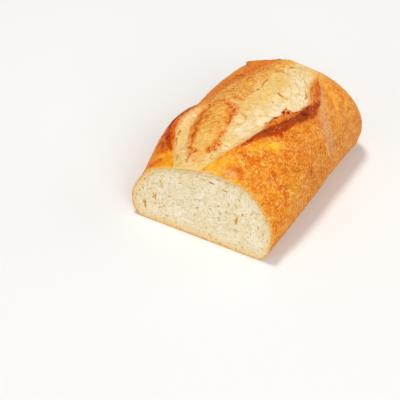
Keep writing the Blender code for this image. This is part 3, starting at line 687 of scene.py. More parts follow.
GOLDSTROKE = (
    ((3.0, 96.0, 71.3, 0.6, 0.6), (6.4, 94.8, 71.1, 0.7, 0.6), (9.5, 92.2, 70.7, 0.5, 0.5)),
    ((-1.0, 65.0, 70.3, 0.7, 1.2), (2.8, 62.6, 69.8, 0.8, 1.4), (5.2, 60.4, 69.1, 0.5, 1)),
    ((-2.6, 83.4, 71.4, 0.5, 0.6), (1.8, 81.3, 71.4, 0.6, 0.6)),
    ((-0.5, 88.9, 71.4, 0.5, 0.6), (4.0, 86.7, 71.3, 0.6, 0.6)),
    ((6.5, 81.8, 71.1, 0.5, 0.5), (10.3, 79.1, 70.6, 0.5, 0.5)),
    ((-2.1, 76.1, 71.4, 0.5, 0.7), (2.1, 72.8, 71.2, 0.6, 0.7)),
    ((-1.3, 56.7, 68.3, 0.5, 0.7), (2.2, 54.6, 67.7, 0.6, 0.7)),
    ((4.8, 69.3, 70.8, 0.4, 0.6), (8.5, 67.0, 70.1, 0.5, 0.6)),
    ((1.6, 104.6, 71.4, 0.5, 0.6), (5.7, 102.9, 71.1, 0.5, 0.6)),
    ((3.4, 111.0, 71.3, 0.5, 0.6), (8.1, 108.3, 70.9, 0.5, 0.6)),
    ((-4.5, 113.2, 71.3, 0.5, 0.6), (0.2, 110.5, 71.4, 0.5, 0.6)),
    ((4.3, 122.7, 70.8, 0.4, 0.6), (9.7, 118.6, 70.5, 0.5, 0.6)),
    ((12.7, 116.0, 70.2, 0.4, 0.6), (17.0, 112.4, 69.3, 0.5, 0.6)),
    ((14.7, 122.4, 69.4, 0.5, 0.5), (19.7, 117.6, 68.5, 0.6, 0.5), (23.3, 111.9, 67.5, 0.5, 0.5)),
    ((14.0, 135.0, 68.2, 0.5, 0.6), (19.7, 130.6, 67.4, 0.6, 0.6), (23.9, 126.2, 66.5, 0.5, 0.5)),
    ((20.3, 137.2, 66.4, 0.5, 0.5), (24.3, 131.4, 65.9, 0.5, 0.5)),
    ((4.1, 137.4, 69.1, 0.6, 0.6), (9.6, 137.0, 68.6, 0.6, 0.6), (14.4, 136.0, 68.0, 0.5, 0.6)),
    ((2.3, 130.5, 70.1, 0.5, 0.6), (7.5, 128.6, 69.9, 0.5, 0.6)),
    ((-1.6, 97.7, 71.4, 0.5, 0.6), (2.0, 95.3, 71.4, 0.5, 0.5)),
)
FARORANGE = (
    ((28.5, 156.9, 59.7, 0.7, 2), (27.9, 152.1, 61.4, 0.6, 2)),
    ((35.9, 150.7, 57.7, 0.6, 2.4), (39.1, 151.6, 55.5, 0.8, 2.2)),
    ((44.6, 140.4, 52.7, 0.5, 1.4), (48.3, 137.4, 49.1, 0.7, 1.6), (51.0, 133.1, 46.1, 0.5, 1.6)),
    ((43.9, 153.4, 51.5, 0.4, 2), (46.4, 154.3, 49.1, 0.4, 2)),
    ((55.4, 152.3, 37.2, 0.7, 2), (53.9, 153.0, 40.0, 0.5, 1.8)),
    ((51.6, 111.6, 45.9, 0.5, 1.6), (53.0, 111.7, 43.7, 0.4, 1.6)),
    ((43.7, 136.1, 53.9, 0.6, 0.8), (46.6, 136.3, 51.1, 0.7, 0.8), (48.1, 131.2, 49.9, 0.5, 0.8)),
)


# the tan hump of the bloom inside an arch of brown streaks
hx, hy, ha = -0.0188, 0.0480, math.radians(7.0)
ux = (X - hx) * math.cos(ha) + (Y - hy) * math.sin(ha)
uy = -(X - hx) * math.sin(ha) + (Y - hy) * math.cos(ha)
hump_r = np.sqrt((ux / 0.0135) ** 2 + (uy / 0.0285) ** 2) + 0.10 * fbm(base, 0.012, 3, 0.6, 21)
ang = np.arctan2(uy / 0.0285, ux / 0.0135)            # 0 right, pi/2 far, pi left
hump = np.where(is_b, np.clip(1 - hump_r ** 3, 0, 1), 0.0)
lift += 0.0020 * hump ** 0.8 * fade
streaks = fields(STREAKS, 0.0015, 501, 1.15, True)
streak_zone = fields(STREAKS, 0.0018, 505, 3.0)
lift -= 0.0005 * np.where(is_b, np.minimum(streaks, 1.0), 0.0) * fade

# the browned far left part, a second long swelling
tan_x = along(TAN_EDGE, Y) + 0.0030 * fbm(base, 0.011, 3, 0.6, 22)
tanfar = np.where(is_b, step(0.0022, -0.0030, X - tan_x), 0.0) * inside
lift += 0.0009 * np.where(is_b, step(0.0040, -0.0080, X - tan_x), 0.0) * fade

# the torn strip inside the ear
flap_x = along(FLAP_EDGE, Y) + 0.0008 * noise(base, 0.0036, 23) + 0.0005 * noise(base, 0.0016, 24)
flap = np.where(is_b, step(-0.0004, 0.0005, X - flap_x), 0.0)
flap *= step(0.0590, 0.0606, Y) * step(0.1150, 0.1120, Y)
flap_rim = np.where(is_b, np.exp(-((X - flap_x - 0.0004) / 0.0007) ** 2), 0.0)
flap_rim *= step(0.0595, 0.066, Y) * step(0.1140, 0.1080, Y)
flap_high = step(0.060, 0.070, Y) * step(0.100, 0.092, Y)
lift += flap * flap_high * (0.0009 * np.exp(-np.maximum(X - flap_x, 0) / 0.0030) + 0.0008)
lift += 0.0005 * flap * noise(base, 0.0022, 25) * flap_high

# strands: torn across the opening, drawn out lengthwise at its far right
warp = 0.0022 * noise(base, 0.013, 31) + 0.0010 * noise(base, 0.0055, 32)
f_long = 0.865 * X + 0.500 * Y
f_short = -0.500 * X + 0.865 * Y
flow_a = f_short + warp
flow_b = 0.30 * f_long + 0.3 * warp
hump_a = f_long + 0.8 * warp
hump_b = 0.24 * f_short
lengthwise = step(0.086, 0.106, Y) * step(-0.014, 0.002, X)
near_h = np.where(is_b, step(1.16, 0.90, hump_r), 0.0)
strands = fbm(np.stack([flow_a, flow_b, Z * 0 + 0.01], -1), 0.0021, 3, 0.6, 35)
strands_h = fbm(np.stack([hump_a, hump_b, Z * 0 + 0.03], -1), 0.0024, 3, 0.6, 38)
strands = strands * (1 - lengthwise) + strands_h * lengthwise
wrinkle = fbm(np.stack([X * 0.55 + Y * 0.35, Y * 0.55 - X * 0.2, Z * 0], -1), 0.0024, 3, 0.55, 36)
lift += np.where(is_b, (0.00034 * strands * (1 + 0.5 * near_h) + 0.00020 * wrinkle) * fade * (1 - 0.7 * flap), 0.0)

# whole crust: swells, dimples, blisters
swell = fbm(base, 0.034, 3, 0.5, 41)
dimple = fbm(base, 0.0085, 3, 0.55, 42)
fine = fbm(base, 0.0026, 2, 0.6, 43)
crusty = np.where(is_b, 0.35, 1.0)
off_floor = step(0.0, 0.010, Z)
lift += (0.00050 * swell + 0.00024 * dimple * crusty + 0.00014 * fine * crusty) * off_floor

# the far right side is a little fuller
lift += 0.0009 * is_r * step(0.090, 0.118, Y) * step(0.172, 0.150, Y) * step(0.010, 0.026, Z) * step(0.062, 0.046, Z)

# the far top corner, left of the middle, stays full a little longer
lift += 0.0015 * np.exp(-((X + 0.0120) / 0.0090) ** 2 - ((Y - 0.1560) / 0.0090) ** 2) * (Z > 0.03)

rng = np.random.default_rng(20)
flat_pts = base.reshape(-1, 3)
ok = np.flatnonzero((~is_b & (Z > 0.006) & (Y > 0.002)).ravel())
blister = np.zeros(len(flat_pts))
shine = np.zeros(len(flat_pts))
n_bl = 420
for k in rng.choice(ok, n_bl, replace=False):
    c = flat_pts[k]
    r = (0.5 + 1.5 * rng.random() ** 2.2) * MM
    near = np.flatnonzero(np.abs(flat_pts[:, 1] - c[1]) < r * 1.6)
    d = np.linalg.norm(flat_pts[near] - c, axis=1) / r
    h = np.clip(1 - d ** 2, 0, 1) ** 1.3
    blister[near] = np.maximum(blister[near], h * r * 0.20)
    # strength of each blister's painted highlight
    shine[near] = np.maximum(shine[near], np.clip(1.1 - d, 0, 1) * (0.4 + 0.6 * rng.random()))
blister = blister.reshape(NR, NC)
shine = shine.reshape(NR, NC)
lift += blister

# one large flat blister by the cut, right of the score
blister_top = fields(BLISTER, 0.0009, 51, 1.15) * is_r
blister_red = fields(BLISTER_RED, 0.0008, 53) * is_r
lift += 0.0010 * np.minimum(fields(BLISTER, 0.0009, 51, 1.5), 1.0) * is_r - 0.0003 * blister_red

# fine creases: contour lines of a warped noise, in patches
cw = base + 0.0035 * np.stack([noise(base, 0.007, 61), noise(base, 0.007, 62),
                               noise(base, 0.007, 63)], -1)
cn = noise(cw, 0.0075, 64)
patch = step(-0.05, 0.30, noise(base, 0.013, 65))
crease = np.exp(-(cn / 0.055) ** 2) * patch * np.where(is_b, 0, 1)
cn2 = noise(cw[..., ::-1], 0.0062, 66)
patch2 = step(0.05, 0.35, noise(base, 0.011, 67))
crease = np.maximum(crease, np.exp(-(cn2 / 0.05) ** 2) * patch2 * np.where(is_b, 0, 1))
lift += 0.00016 * crease * off_floor

# the long light crease on the right side towards the end
cr_y = Y - 0.0975 - 0.10 * (0.040 - Z) - 0.0015 * noise(base, 0.008, 71)
long_crease = bump(cr_y, 0.0, 0.0008) * step(0.030, 0.034, Z) * step(0.047, 0.042, Z) * is_r
lift -= 0.0005 * long_crease

# scorched band along the ear
edge_b = along(BURN_EDGE, Y) + 0.0018 * fbm(base, 0.007, 3, 0.65, 81)
lipx = X[:, CR:CR + 1]
inner = np.clip((edge_b - X) / np.maximum(edge_b - lipx, 1e-4), -1, 2)
sharp = step(0.100, 0.118, Y)
burn = np.where(is_r, 1, 0) * upper * (step(-0.10, 0.22, inner) * (1 - sharp) + step(-0.05, 0.08, inner) * sharp)
burn *= step(0.032, 0.044, Y) * step(0.1445, 0.1415, Y)
core = fields(CORE, 0.0016, 511) * is_r * upper
darkest = fields(DARKEST, 0.0008, 521) * is_r * upper
far_burn = step(0.1130, 0.1190, Y)
# painted highlight: a thin light line along the right lip where its edge catches the light
lip_edge_highlight = np.where(is_b, np.exp(-(aR / 0.0014) ** 2), 0) * step(0.012, 0.02, Y) * step(0.0645, 0.060, Y)
lip_edge_highlight = np.maximum(lip_edge_highlight, np.where(is_r, np.exp(-(aR / 0.0006) ** 2), 0.0) * step(0.012, 0.02, Y) * step(0.066, 0.056, Y))
fringe = np.where(is_b, np.exp(-((aR + 0.0026) / 0.0018) ** 2), 0) * step(0.108, 0.118, Y)
fringe = np.maximum(fringe, np.exp(-(aR / 0.0060) ** 2) * step(0.138, 0.150, Y) * (is_b | is_r))

flap_low = is_r * step(0.0007, 0.0000, aR + 0.0004 * noise(base, 0.0028, 821)) * step(0.0620, 0.0680, Y) * step(0.0960, 0.0900, Y)
far_in = is_b * step(0.0018, 0.0009, -aR + 0.0009 * fbm(base, 0.0036, 2, 0.6, 822)) * step(0.1150, 0.1200, Y) * step(0.1420, 0.1370, Y)
streak = streaks * is_b
crack = fields(CRACK, 0.0007, 531, 1.0, True) * is_b
lift -= 0.0006 * np.minimum(crack, 1.0)
olive = fields(OLIVE, 0.0005, 541, 1.15, True) * is_b
gold = fields(GOLD, 0.0012, 551) * is_b
goldstroke = fields(GOLDSTROKE, 0.0010, 555, 1.0, True) * is_b
redgold = fields(REDGOLD, 0.0014, 561) * is_b
flapdark = fields(FLAPDARK, 0.0004, 571, 1.0, True) * is_b
left_red = np.maximum(fields(LEFTRED, 0.0014, 581, 1.05), fields(LEFTEDGE, 0.0003, 591, 1.2)) * is_l
left_black = fields(LEFTLINE, 0.0006, 601, 1.45) * is_l
left_zone = np.where(is_l, step(0.0150, 0.0070, aL), 0.0) * step(0.027, 0.036, Y) * step(0.073, 0.060, Y)
strip_red = fields(STRIPRED, 0.0012, 611) * is_l
strip_dark = fields(STRIPDARK, 0.0004, 621, 1.0, True) * is_l
strip_zone = np.where(is_l, step(0.030, 0.008, aL), 0.0) * step(0.084, 0.098, Y) * step(0.176, 0.160, Y)
# small holes beside the left lip, dented in, with painted shade in them
HOLES = ((-45.0, 34.5, 0.9), (-43.6, 39.4, 1.0), (-44.8, 43.6, 0.7), (-37.0, 25.6, 0.7), (-41.5, 33.0, 0.6))
holes = np.zeros_like(X)
for cx_, cy_, a in HOLES:
    holes = np.maximum(holes, a * np.exp(-(((X - cx_ * MM) / 0.0008) ** 2 + ((Y - cy_ * MM) / 0.0016) ** 2)) * is_b)
lift -= 0.0010 * holes

# a thin edge of crust that lifts off the far end of the left lip
tipx = X + 0.0436 + 0.0006 * noise(base, 0.003, 105)
tip = step(0.0, 0.0012, tipx) * np.clip(1 - tipx / 0.024, 0, 1) ** 1.3
tip *= np.exp(-((Y - 0.1545) / np.where(Y < 0.1545, 0.0034, 0.0060)) ** 2) * np.where(is_b, 0.5, 1.0) * (X < 0)
lift += 0.0019 * tip

lift *= np.maximum(upper, 0.0) * 0.0 + 1.0
# nothing of the score's relief reaches the cut edge, which stays in its plane
cut_fade = step(0.0, 0.006, Y - CUT_LEAN * Z)
lift *= cut_fade
lift *= step(0.0, 0.004, Z) * 1.0 + 0.0
lift[0] = 0.0

skin = base + nrm * lift[..., None]
# the ear leans over the bloom
lean = np.where(is_r, ear * 0.45 * np.exp(-np.maximum(aR, 0) / 0.0022), 0.0) * cut_fade
lean_l = np.where(is_l, lip * 0.40 * np.exp(-np.maximum(aL, 0) / 0.0022), 0.0) * cut_fade
skin = skin + tang * (lean - lean_l)[..., None]
skin[..., 0] -= 0.0012 * tip * step(0.0060, 0.0, tipx)
skin[..., 2] = np.maximum(skin[..., 2], 0.0)

SHIFT = np.array([-0.003481593, 0.09015, 0.0])       # CAD box centre in this frame


# ==================================================================== meshes
def make_mesh(name, verts, faces, attrs, uv=None, smooth=True):
    me = bpy.data.meshes.new(name)
    me.from_pydata(np.asarray(verts, float).tolist(), [], faces)
    for key, val in attrs.items():
        a = me.attributes.new(key, "FLOAT", "POINT")
        a.data.foreach_set("value", np.asarray(val, np.float32))
    if uv is not None:
        lay = me.uv_layers.new(name="OFBake")
        lay.uv.foreach_set("vector", np.asarray(uv, np.float32).ravel())
    if smooth:
        me.shade_smooth()
    me.validate(clean_customdata=False)
    me.update()
    ob = bpy.data.objects.new(name, me)
    bpy.context.scene.collection.objects.link(ob)
    return ob


def grid_faces(rows, cols, closed, offset=0):
    out = []
    for i in range(rows - 1):
        a, b = offset + i * cols, offset + (i + 1) * cols
        for j in range(cols if closed else cols - 1):
            k = (j + 1) % cols
            out.append((a + j, a + k, b + k, b + j))
    return out


# ---- crust: outer skin, a thin rim in the cut plane and a recess behind it
ring0 = base[0]
px0, ph0 = ring0[:, 0], ring0 @ k_up


def inset(x, h, d):
    """Outline moved inwards by d (array), in the cut plane."""
    tx = np.roll(x, -1) - np.roll(x, 1)
    th = np.roll(h, -1) - np.roll(h, 1)
    ln = np.maximum(np.hypot(tx, th), 1e-9)
    return x - th / ln * d, h + tx / ln * d


top0 = step(0.6, 0.95, nrm[0, :, 2])
rim_w = 0.0012 - 0.0005 * top0 + 0.0002 * noise(ring0, 0.006, 101)
ix, ih = inset(px0, ph0, rim_w)


def plane_point(x, h, depth):
    return np.stack([x, x * 0, x * 0], -1) + h[:, None] * k_up - depth * k_n[None]


inner_front = plane_point(ix, ih, 0.0)
inner_front[:, 2] = np.maximum(inner_front[:, 2], 0.0004)
inner_back = plane_point(*inset(px0, ph0, rim_w + 0.0012), 0.008)
verts = np.concatenate([inner_back, inner_front, skin.reshape(-1, 3)]) - SHIFT
faces = [tuple(range(NC))]
faces += grid_faces(NR + 2, NC, True)
last = (NR + 1) * NC
faces += [tuple(range(last, last + NC))[::-1]]
# orientation: rows run outward from the recess, so the grid is already outward
zeros2 = np.zeros(2 * NC)


def put(v, front=0.0):
    return np.concatenate([np.full(2 * NC, front), np.asarray(v, float).ravel()])


far = step(0.085, 0.125, Y) * np.where(is_b, 0, 1) * (X > -0.02)
# lower right flank: its own duller tan, painted darker toward the base as shade
low_flank_tan_and_shade = step(0.050, 0.030, Z + 0.006 * noise(base, 0.016, 112)) * is_r * step(0.020, 0.050, Y + 0.5 * (0.03 - Z))
yellow = (0.70 - 0.40 * step(0.010, 0.030, X)) * np.exp(-((Y - CUT_LEAN * Z) / 0.0036) ** 2) * step(0.0, 0.02, Z) * ~is_b
yellow = np.maximum(yellow, fields(YELLOW, 0.0016, 631) * is_r)
yellow = np.maximum(yellow, 0.72 * fields(LEFTYELLOW, 0.0014, 641, 1.3) * is_l)
rust = np.maximum(fields(LEFTDEEP, 0.0012, 651) * is_l, fields(LEFTORANGE, 0.0014, 661) * is_l)
flankred = fields(FLANKRED, 0.0022, 671) * is_r
bruise = fields(BRUISE, 0.0018, 675) * is_r
tip_glow = fields(TIPGLOW, 0.0020, 677)
palepatch = np.maximum(fields(PALEPATCH, 0.0024, 681), fields(PALEFLANK, 0.0024, 685)) * is_r
low = step(0.016, 0.006, Z) * (nrm[..., 2] > -0.95)
under = step(-0.80, -0.97, nrm[..., 2])
painted_sheen_band = fields(PAINTED_SHEEN_BAND, 0.0014, 691, 1.3) * is_r
goldband = fields(GOLDBAND, 0.0014, 701) * is_r
orange = fields(FARORANGE, 0.0012, 711) * is_r
strokes = fields(STROKES, 0.0006, 721, 1.0, True) * is_r
spots = fields(RUSTSPOT, 0.0006, 731, 1.15) * is_r
base_light = np.exp(-((Z - 0.0022) / 0.0016) ** 2) * (np.abs(nrm[..., 2]) < 0.93)
# the palest bloom by the right lip and its far right stretch: partly the bloom's own pale colour, partly a painted
# highlight where the light falls
pale_and_highlight = np.where(is_b, step(0.026, 0.010, -aR) * step(0.040, 0.052, Y) * step(0.150, 0.128, Y), 0.0)
pale_and_highlight = np.maximum(pale_and_highlight, np.where(is_b, step(0.036, 0.018, -aR) * step(0.090, 0.108, Y) * step(0.155, 0.132, Y) * step(0.006, 0.014, X), 0.0))
mellow = np.where(is_b, bump(-aR, 0.0310, 0.0060), 0.0) * step(0.040, 0.055, Y) * step(0.150, 0.130, Y) * (1 - near_h)
humplow = near_h * step(0.050, 0.036, Y)
left_side_near = np.where(is_l, step(0.100, 0.070, Y), 0.0)
flap_far = flap * step(0.0900, 0.0945, Y)
under_ear = np.where(is_r, step(0.016, 0.008, aR) * step(0.080, 0.064, Y) * step(0.022, 0.034, Y), 0.0)
left_near = np.where(is_l, step(0.034, 0.020, aL), 0.0)
tip_edge = is_l * step(-0.0012, 0.0004, tipx) * step(0.0034, 0.0016, tipx) * np.exp(-((Y - 0.1550) / 0.0075) ** 2)
near_cut = np.exp(-np.maximum(Y - CUT_LEAN * Z, 0) / 0.0050) * is_b
low_cut = step(0.0016, 0.0004, Y - CUT_LEAN * Z) * np.where((X < 0) | (Z < 0.012), 0.75, 0.35)

# warmer, more golden patch toward the far end of the bloom
far_gold = is_b * spot_field(((-4.1, 132.9, 69.7, 0.8, 5.0), (4.6, 115.2, 71.2, 1.0, 5.0), (10.3, 103.7, 70.6, 0.7, 4.0)), 0.0024, 521, 1.0, False)

attrs = {
    "bloom": put(bloom), "streak": put(streak), "streakzone": put(streak_zone * is_b), "hump": put(near_h), "tanfar": put(tanfar),
    "burn": put(burn), "core": put(core), "darkest": put(darkest), "farburn": put(far_burn),
    "flap": put(flap), "flaprim": put(flap_rim), "flapdark": put(flapdark), "edge": put(lip_edge_highlight), "fringe": put(fringe),
    "leftzone": put(left_zone), "leftred": put(left_red), "leftblack": put(left_black),
    "stripzone": put(strip_zone), "stripred": put(strip_red), "stripdark": put(strip_dark),
    "far": put(far), "low_flank_tan_and_shade": put(low_flank_tan_and_shade),
    "yellow": put(yellow), "rust": put(rust), "flankred": put(flankred), "palepatch": put(palepatch),
    "bruise": put(bruise), "tipglow": put(tip_glow),
    "spots": put(spots), "low": put(low), "under": put(under),
    "bred": put(blister_red), "btop": put(blister_top), "shine": put(shine),
    "painted_sheen_band": put(painted_sheen_band), "goldband": put(goldband), "orange": put(orange), "strokes": put(strokes),
    "baselight": put(base_light),
    "lines": put(np.maximum(crease * 0.6, long_crease * 0.85)), "crack": put(crack), "flaplow": put(flap_low), "farin": put(far_in), "olive": put(olive),
    "gold": put(gold), "goldstroke": put(goldstroke), "redgold": put(redgold), "holes": put(holes), "lengthwise": put(lengthwise),
    "pale_and_highlight": put(pale_and_highlight), "mellow": put(mellow), "humplow": put(humplow), "leftside": put(left_side_near),
    "flapfar": put(flap_far), "underear": put(under_ear), "fargold": put(far_gold), "tipedge": put(tip_edge), "leftnear": put(left_near), "nearcut": put(near_cut), "lowcut": put(low_cut),
    "flowa": put(flow_a * 10), "flowb": put(flow_b * 10), "humpa": put(hump_a * 10), "humpb": put(hump_b * 10),
    "cutrim": np.concatenate([np.ones(2 * NC), np.zeros(NR * NC)]),
}

# UV: the skin as one sheet, the rim and recess in a narrow strip
u = np.arange(NC + 1) / NC
v_rows = np.concatenate([[0.0, 0.012], 0.02 + 0.98 * np.concatenate([[0], np.cumsum(np.linalg.norm(np.diff(base[:, CR], axis=0), axis=1))]) /
                         np.sum(np.linalg.norm(np.diff(base[:, CR], axis=0), axis=1))])
uv = []
for j in range(NC):
    uv.append((u[j], 0.0))
for i in range(NR + 1):
    for j in range(NC):
        uv += [(u[j], v_rows[i]), (u[j + 1], v_rows[i]), (u[j + 1], v_rows[i + 1]), (u[j], v_rows[i + 1])]
for j in range(NC)[::-1]:
    uv.append((u[j], 1.0))
crust = make_mesh("crust", verts, faces, attrs, uv)

# ---- crumb: a plug whose front is the cut face, with real pores
NU = 600
NV = 104
idx = np.linspace(0, NC, NU, endpoint=False)
wrapx, wraph = np.append(px0, px0[0]), np.append(ph0, ph0[0])
# even spacing by length round the outline
peri = np.concatenate([[0], np.cumsum(np.hypot(np.diff(wrapx), np.diff(wraph)))])
at = np.interp(np.linspace(0, peri[-1], NU, endpoint=False), peri, np.arange(NC + 1))
oxx, ohh = np.interp(at, np.arange(NC + 1), wrapx), np.interp(at, np.arange(NC + 1), wraph)
rw = np.interp(at, np.arange(NC + 1), np.append(rim_w, rim_w[0]))
fx0, fh0 = inset(oxx, ohh, rw - 0.00030)
span = 0.038
cx_mid, ch_mid = float(px0.mean()) * 0 - 0.0010, 0.024
tx = np.clip(fx0 - cx_mid, -span, span) + cx_mid
vv = np.linspace(0, 1, NV) ** 1.0
FX = fx0[None] * (1 - vv[:, None]) + tx[None] * vv[:, None]
FH = fh0[None] * (1 - vv[:, None]) + ch_mid * vv[:, None]
face_p = np.stack([FX, FH, FX * 0], -1)
depth_in = np.full(FX.shape, 0.00012)
edge_d = np.minimum(1.0, 1.0) * np.hypot(FX - fx0[None], FH - fh0[None])        # distance from the rim
toprim = step(0.45, 0.85, np.interp(at, np.arange(NC + 1), np.append(nrm[0, :, 2], nrm[0, 0, 2])))[None]

rng = np.random.default_rng(77)
pore = np.zeros(FX.shape)
pore_shade = np.zeros(FX.shape)


def add_pore(x, h, ra, rb, angle, deep, dark, rough=0.18):
    c, s = math.cos(angle), math.sin(angle)
    near = (np.abs(FX - x) < ra * 1.7) & (np.abs(FH - h) < ra * 1.7)
    if not near.any():
        return
    ux_, uh_ = FX[near] - x, FH[near] - h
    a_, b_ = (ux_ * c + uh_ * s) / ra, (-ux_ * s + uh_ * c) / rb
    r = np.sqrt(a_ ** 2 + b_ ** 2)
    if rough:
        r = np.maximum(r + rough * noise(face_p[near] + 3.0, max(ra * 0.9, 0.0006), 131), 0.0)
    bowl = np.clip(1 - r ** 2.6, 0, 1) ** 0.7
    pore[near] = np.maximum(pore[near], deep * bowl)
    pore_shade[near] = np.maximum(pore_shade[near], dark * np.clip(1 - r ** 3, 0, 1))


W0, H0 = 0.0590, 0.0525
n_p = 2600
for _ in range(n_p):
    x, h = rng.uniform(-W0, W0), rng.uniform(0.001, H0)
    r = (0.16 + 0.42 * rng.random() ** 3.0) * MM
    add_pore(x, h, r * rng.uniform(1.0, 1.9), r, rng.uniform(0, PI), r * 0.9, 0.35 + 0.35 * rng.random(), 0.12)
# pores near the rim and the lower corners are larger and drawn out along it
for _ in range(170):
    x, h = rng.uniform(-W0, W0), rng.uniform(0.001, H0)
    r = (0.32 + 0.45 * rng.random() ** 1.6) * MM
    dirn = math.atan2(-(x / 0.06) * 0.9, 1.0) * 0.8
    add_pore(x, h, r * rng.uniform(1.3, 2.6), r, dirn + rng.normal(0, 0.35), r * 1.2, 0.55 + 0.3 * rng.random())

# (x, height along the cut, half length, half width in mm, tilt, darkness of the painted shade)
PORES = ((-49.2, 12.8, 2.07, 1, -0.96, 0.95), (-48.1, 9.1, 2.84, 0.7, -1.48, 1),
         (-50.6, 12.4, 0.9, 0.9, 0, 0.55), (-42.9, 18.5, 1.34, 0.55, -0.5, 0.8),
         (-40.7, 20.2, 2.51, 0.6, 1.19, 0.9), (-40.5, 20.2, 0.7, 0.7, 0, 0.7),
         (-37, 30.5, 2.06, 0.55, -1.4, 0.5), (-22.6, 37.3, 0.55, 0.55, 0, 0.8),
         (3.3, 46.6, 2.75, 0.42, -0.13, 0.85), (13.8, 44.5, 1.52, 0.35, -0.13, 0.5),
         (15.8, 44.2, 1.95, 0.42, -0.16, 0.8), (19.5, 34.8, 1.38, 0.4, -1.46, 0.7),
         (11.2, 30.2, 2.26, 0.45, 0.54, 0.6), (17.9, 27.6, 1.1, 1.1, 0, 0.5),
         (18.5, 27.6, 1.46, 0.6, -1.35, 0.55), (13.2, 24.8, 0.6, 0.6, 0, 0.5),
         (12.5, 21.7, 0.6, 0.6, 0, 0.65), (18.8, 22.4, 0.45, 0.45, 0, 0.5),
         (27.3, 26, 2.11, 1.05, -1.68, 0.75), (26.9, 22.7, 2.52, 0.8, -1.65, 0.95),
         (31.2, 30.2, 1.32, 0.65, -0.82, 1), (37.7, 32.9, 0.8, 0.8, 0, 0.5),
         (37.2, 29.9, 0.6, 0.6, 0, 0.4), (27.3, 40.9, 1.09, 0.35, -0.71, 0.5),
         (25.2, 35.2, 1.2, 0.35, -0.29, 0.55), (9.7, 34.8, 0.4, 0.4, 0, 0.4),
         (14.5, 39.3, 0.79, 0.3, -0.46, 0.4), (44.4, 24.7, 0.6, 0.6, 0, 0.75),
         (49.4, 21, 1.39, 0.55, -1.34, 0.85), (46.3, 17.5, 0.55, 0.55, 0, 0.8),
         (49, 15.5, 1.28, 0.4, -1.59, 0.7), (53.3, 17.4, 1.25, 0.5, 1.24, 0.85),
         (56.1, 13.7, 1.25, 0.4, -1.71, 0.6), (50.5, 9.6, 0.96, 0.6, -0.41, 0.8),
         (49, 8.1, 0.6, 0.6, 0, 0.6), (52.7, 8.8, 0.4, 0.4, 0, 0.6),
         (36.6, 24.4, 0.45, 0.45, 0, 0.5), (38, 22.3, 0.5, 0.5, 0, 0.6),
         (-51, 31.3, 1.44, 0.5, 1.05, 0.8), (-48.1, 34.8, 0.92, 0.5, 0.33, 0.7),
         (-45.9, 36.2, 0.81, 0.4, 0.79, 0.75), (-51.7, 23, 1.4, 0.55, -1.1, 0.8),
         (-54.5, 20, 1.28, 0.5, 0.65, 0.7), (-56.7, 16, 1.43, 0.6, -1.38, 0.9),
         (-54.9, 16.1, 1.27, 0.45, -1.63, 0.45), (-45.1, 25, 0.6, 0.6, 0, 0.6),
         (-48.4, 23.8, 0.6, 0.6, 0, 0.5), (-55.7, 11.1, 0.55, 0.55, 0, 0.6),
         (-46.8, 31.1, 0.45, 0.45, 0, 0.5), (-37.3, 38, 2.54, 0.34, 0.56, 0.7),
         (-31.9, 44.3, 1.92, 0.3, 0.55, 0.6), (-22.6, 42.1, 1.58, 0.5, 0.45, 0.6),
         (-13.1, 44.9, 1.48, 0.45, 0.52, 0.55), (-2.6, 46.7, 1.49, 0.4, -0.16, 0.75),
         (-25.2, 23, 0.65, 0.65, 0, 0.5), (-18.6, 27.4, 0.5, 0.5, 0, 0.45),
         (-16.7, 28.4, 0.4, 0.4, 0, 0.4), (-22.6, 21.6, 0.5, 0.5, 0, 0.35),
         (-17, 22.8, 0.7, 0.7, 0, 0.5), (-11.6, 34.3, 0.4, 0.4, 0, 0.4),
         (-9.6, 28.7, 0.5, 0.5, 0, 0.4), (-5.4, 29.2, 0.5, 0.5, 0, 0.35),
         (-15.4, 36.2, 0.45, 0.45, 0, 0.45), (-17.3, 19, 0.6, 0.6, 0, 0.45),
         (-1.7, 20.8, 0.6, 0.6, 0, 0.4), (-37.4, 18.4, 0.5, 0.5, 0, 0.35),
         (-39.2, 11.4, 0.4, 0.4, 0, 0.3), (0.3, 28.1, 0.5, 0.5, 0, 0.35),
         (4.7, 26.5, 0.45, 0.45, 0, 0.4), (24.4, 16.4, 0.5, 0.5, 0, 0.4))
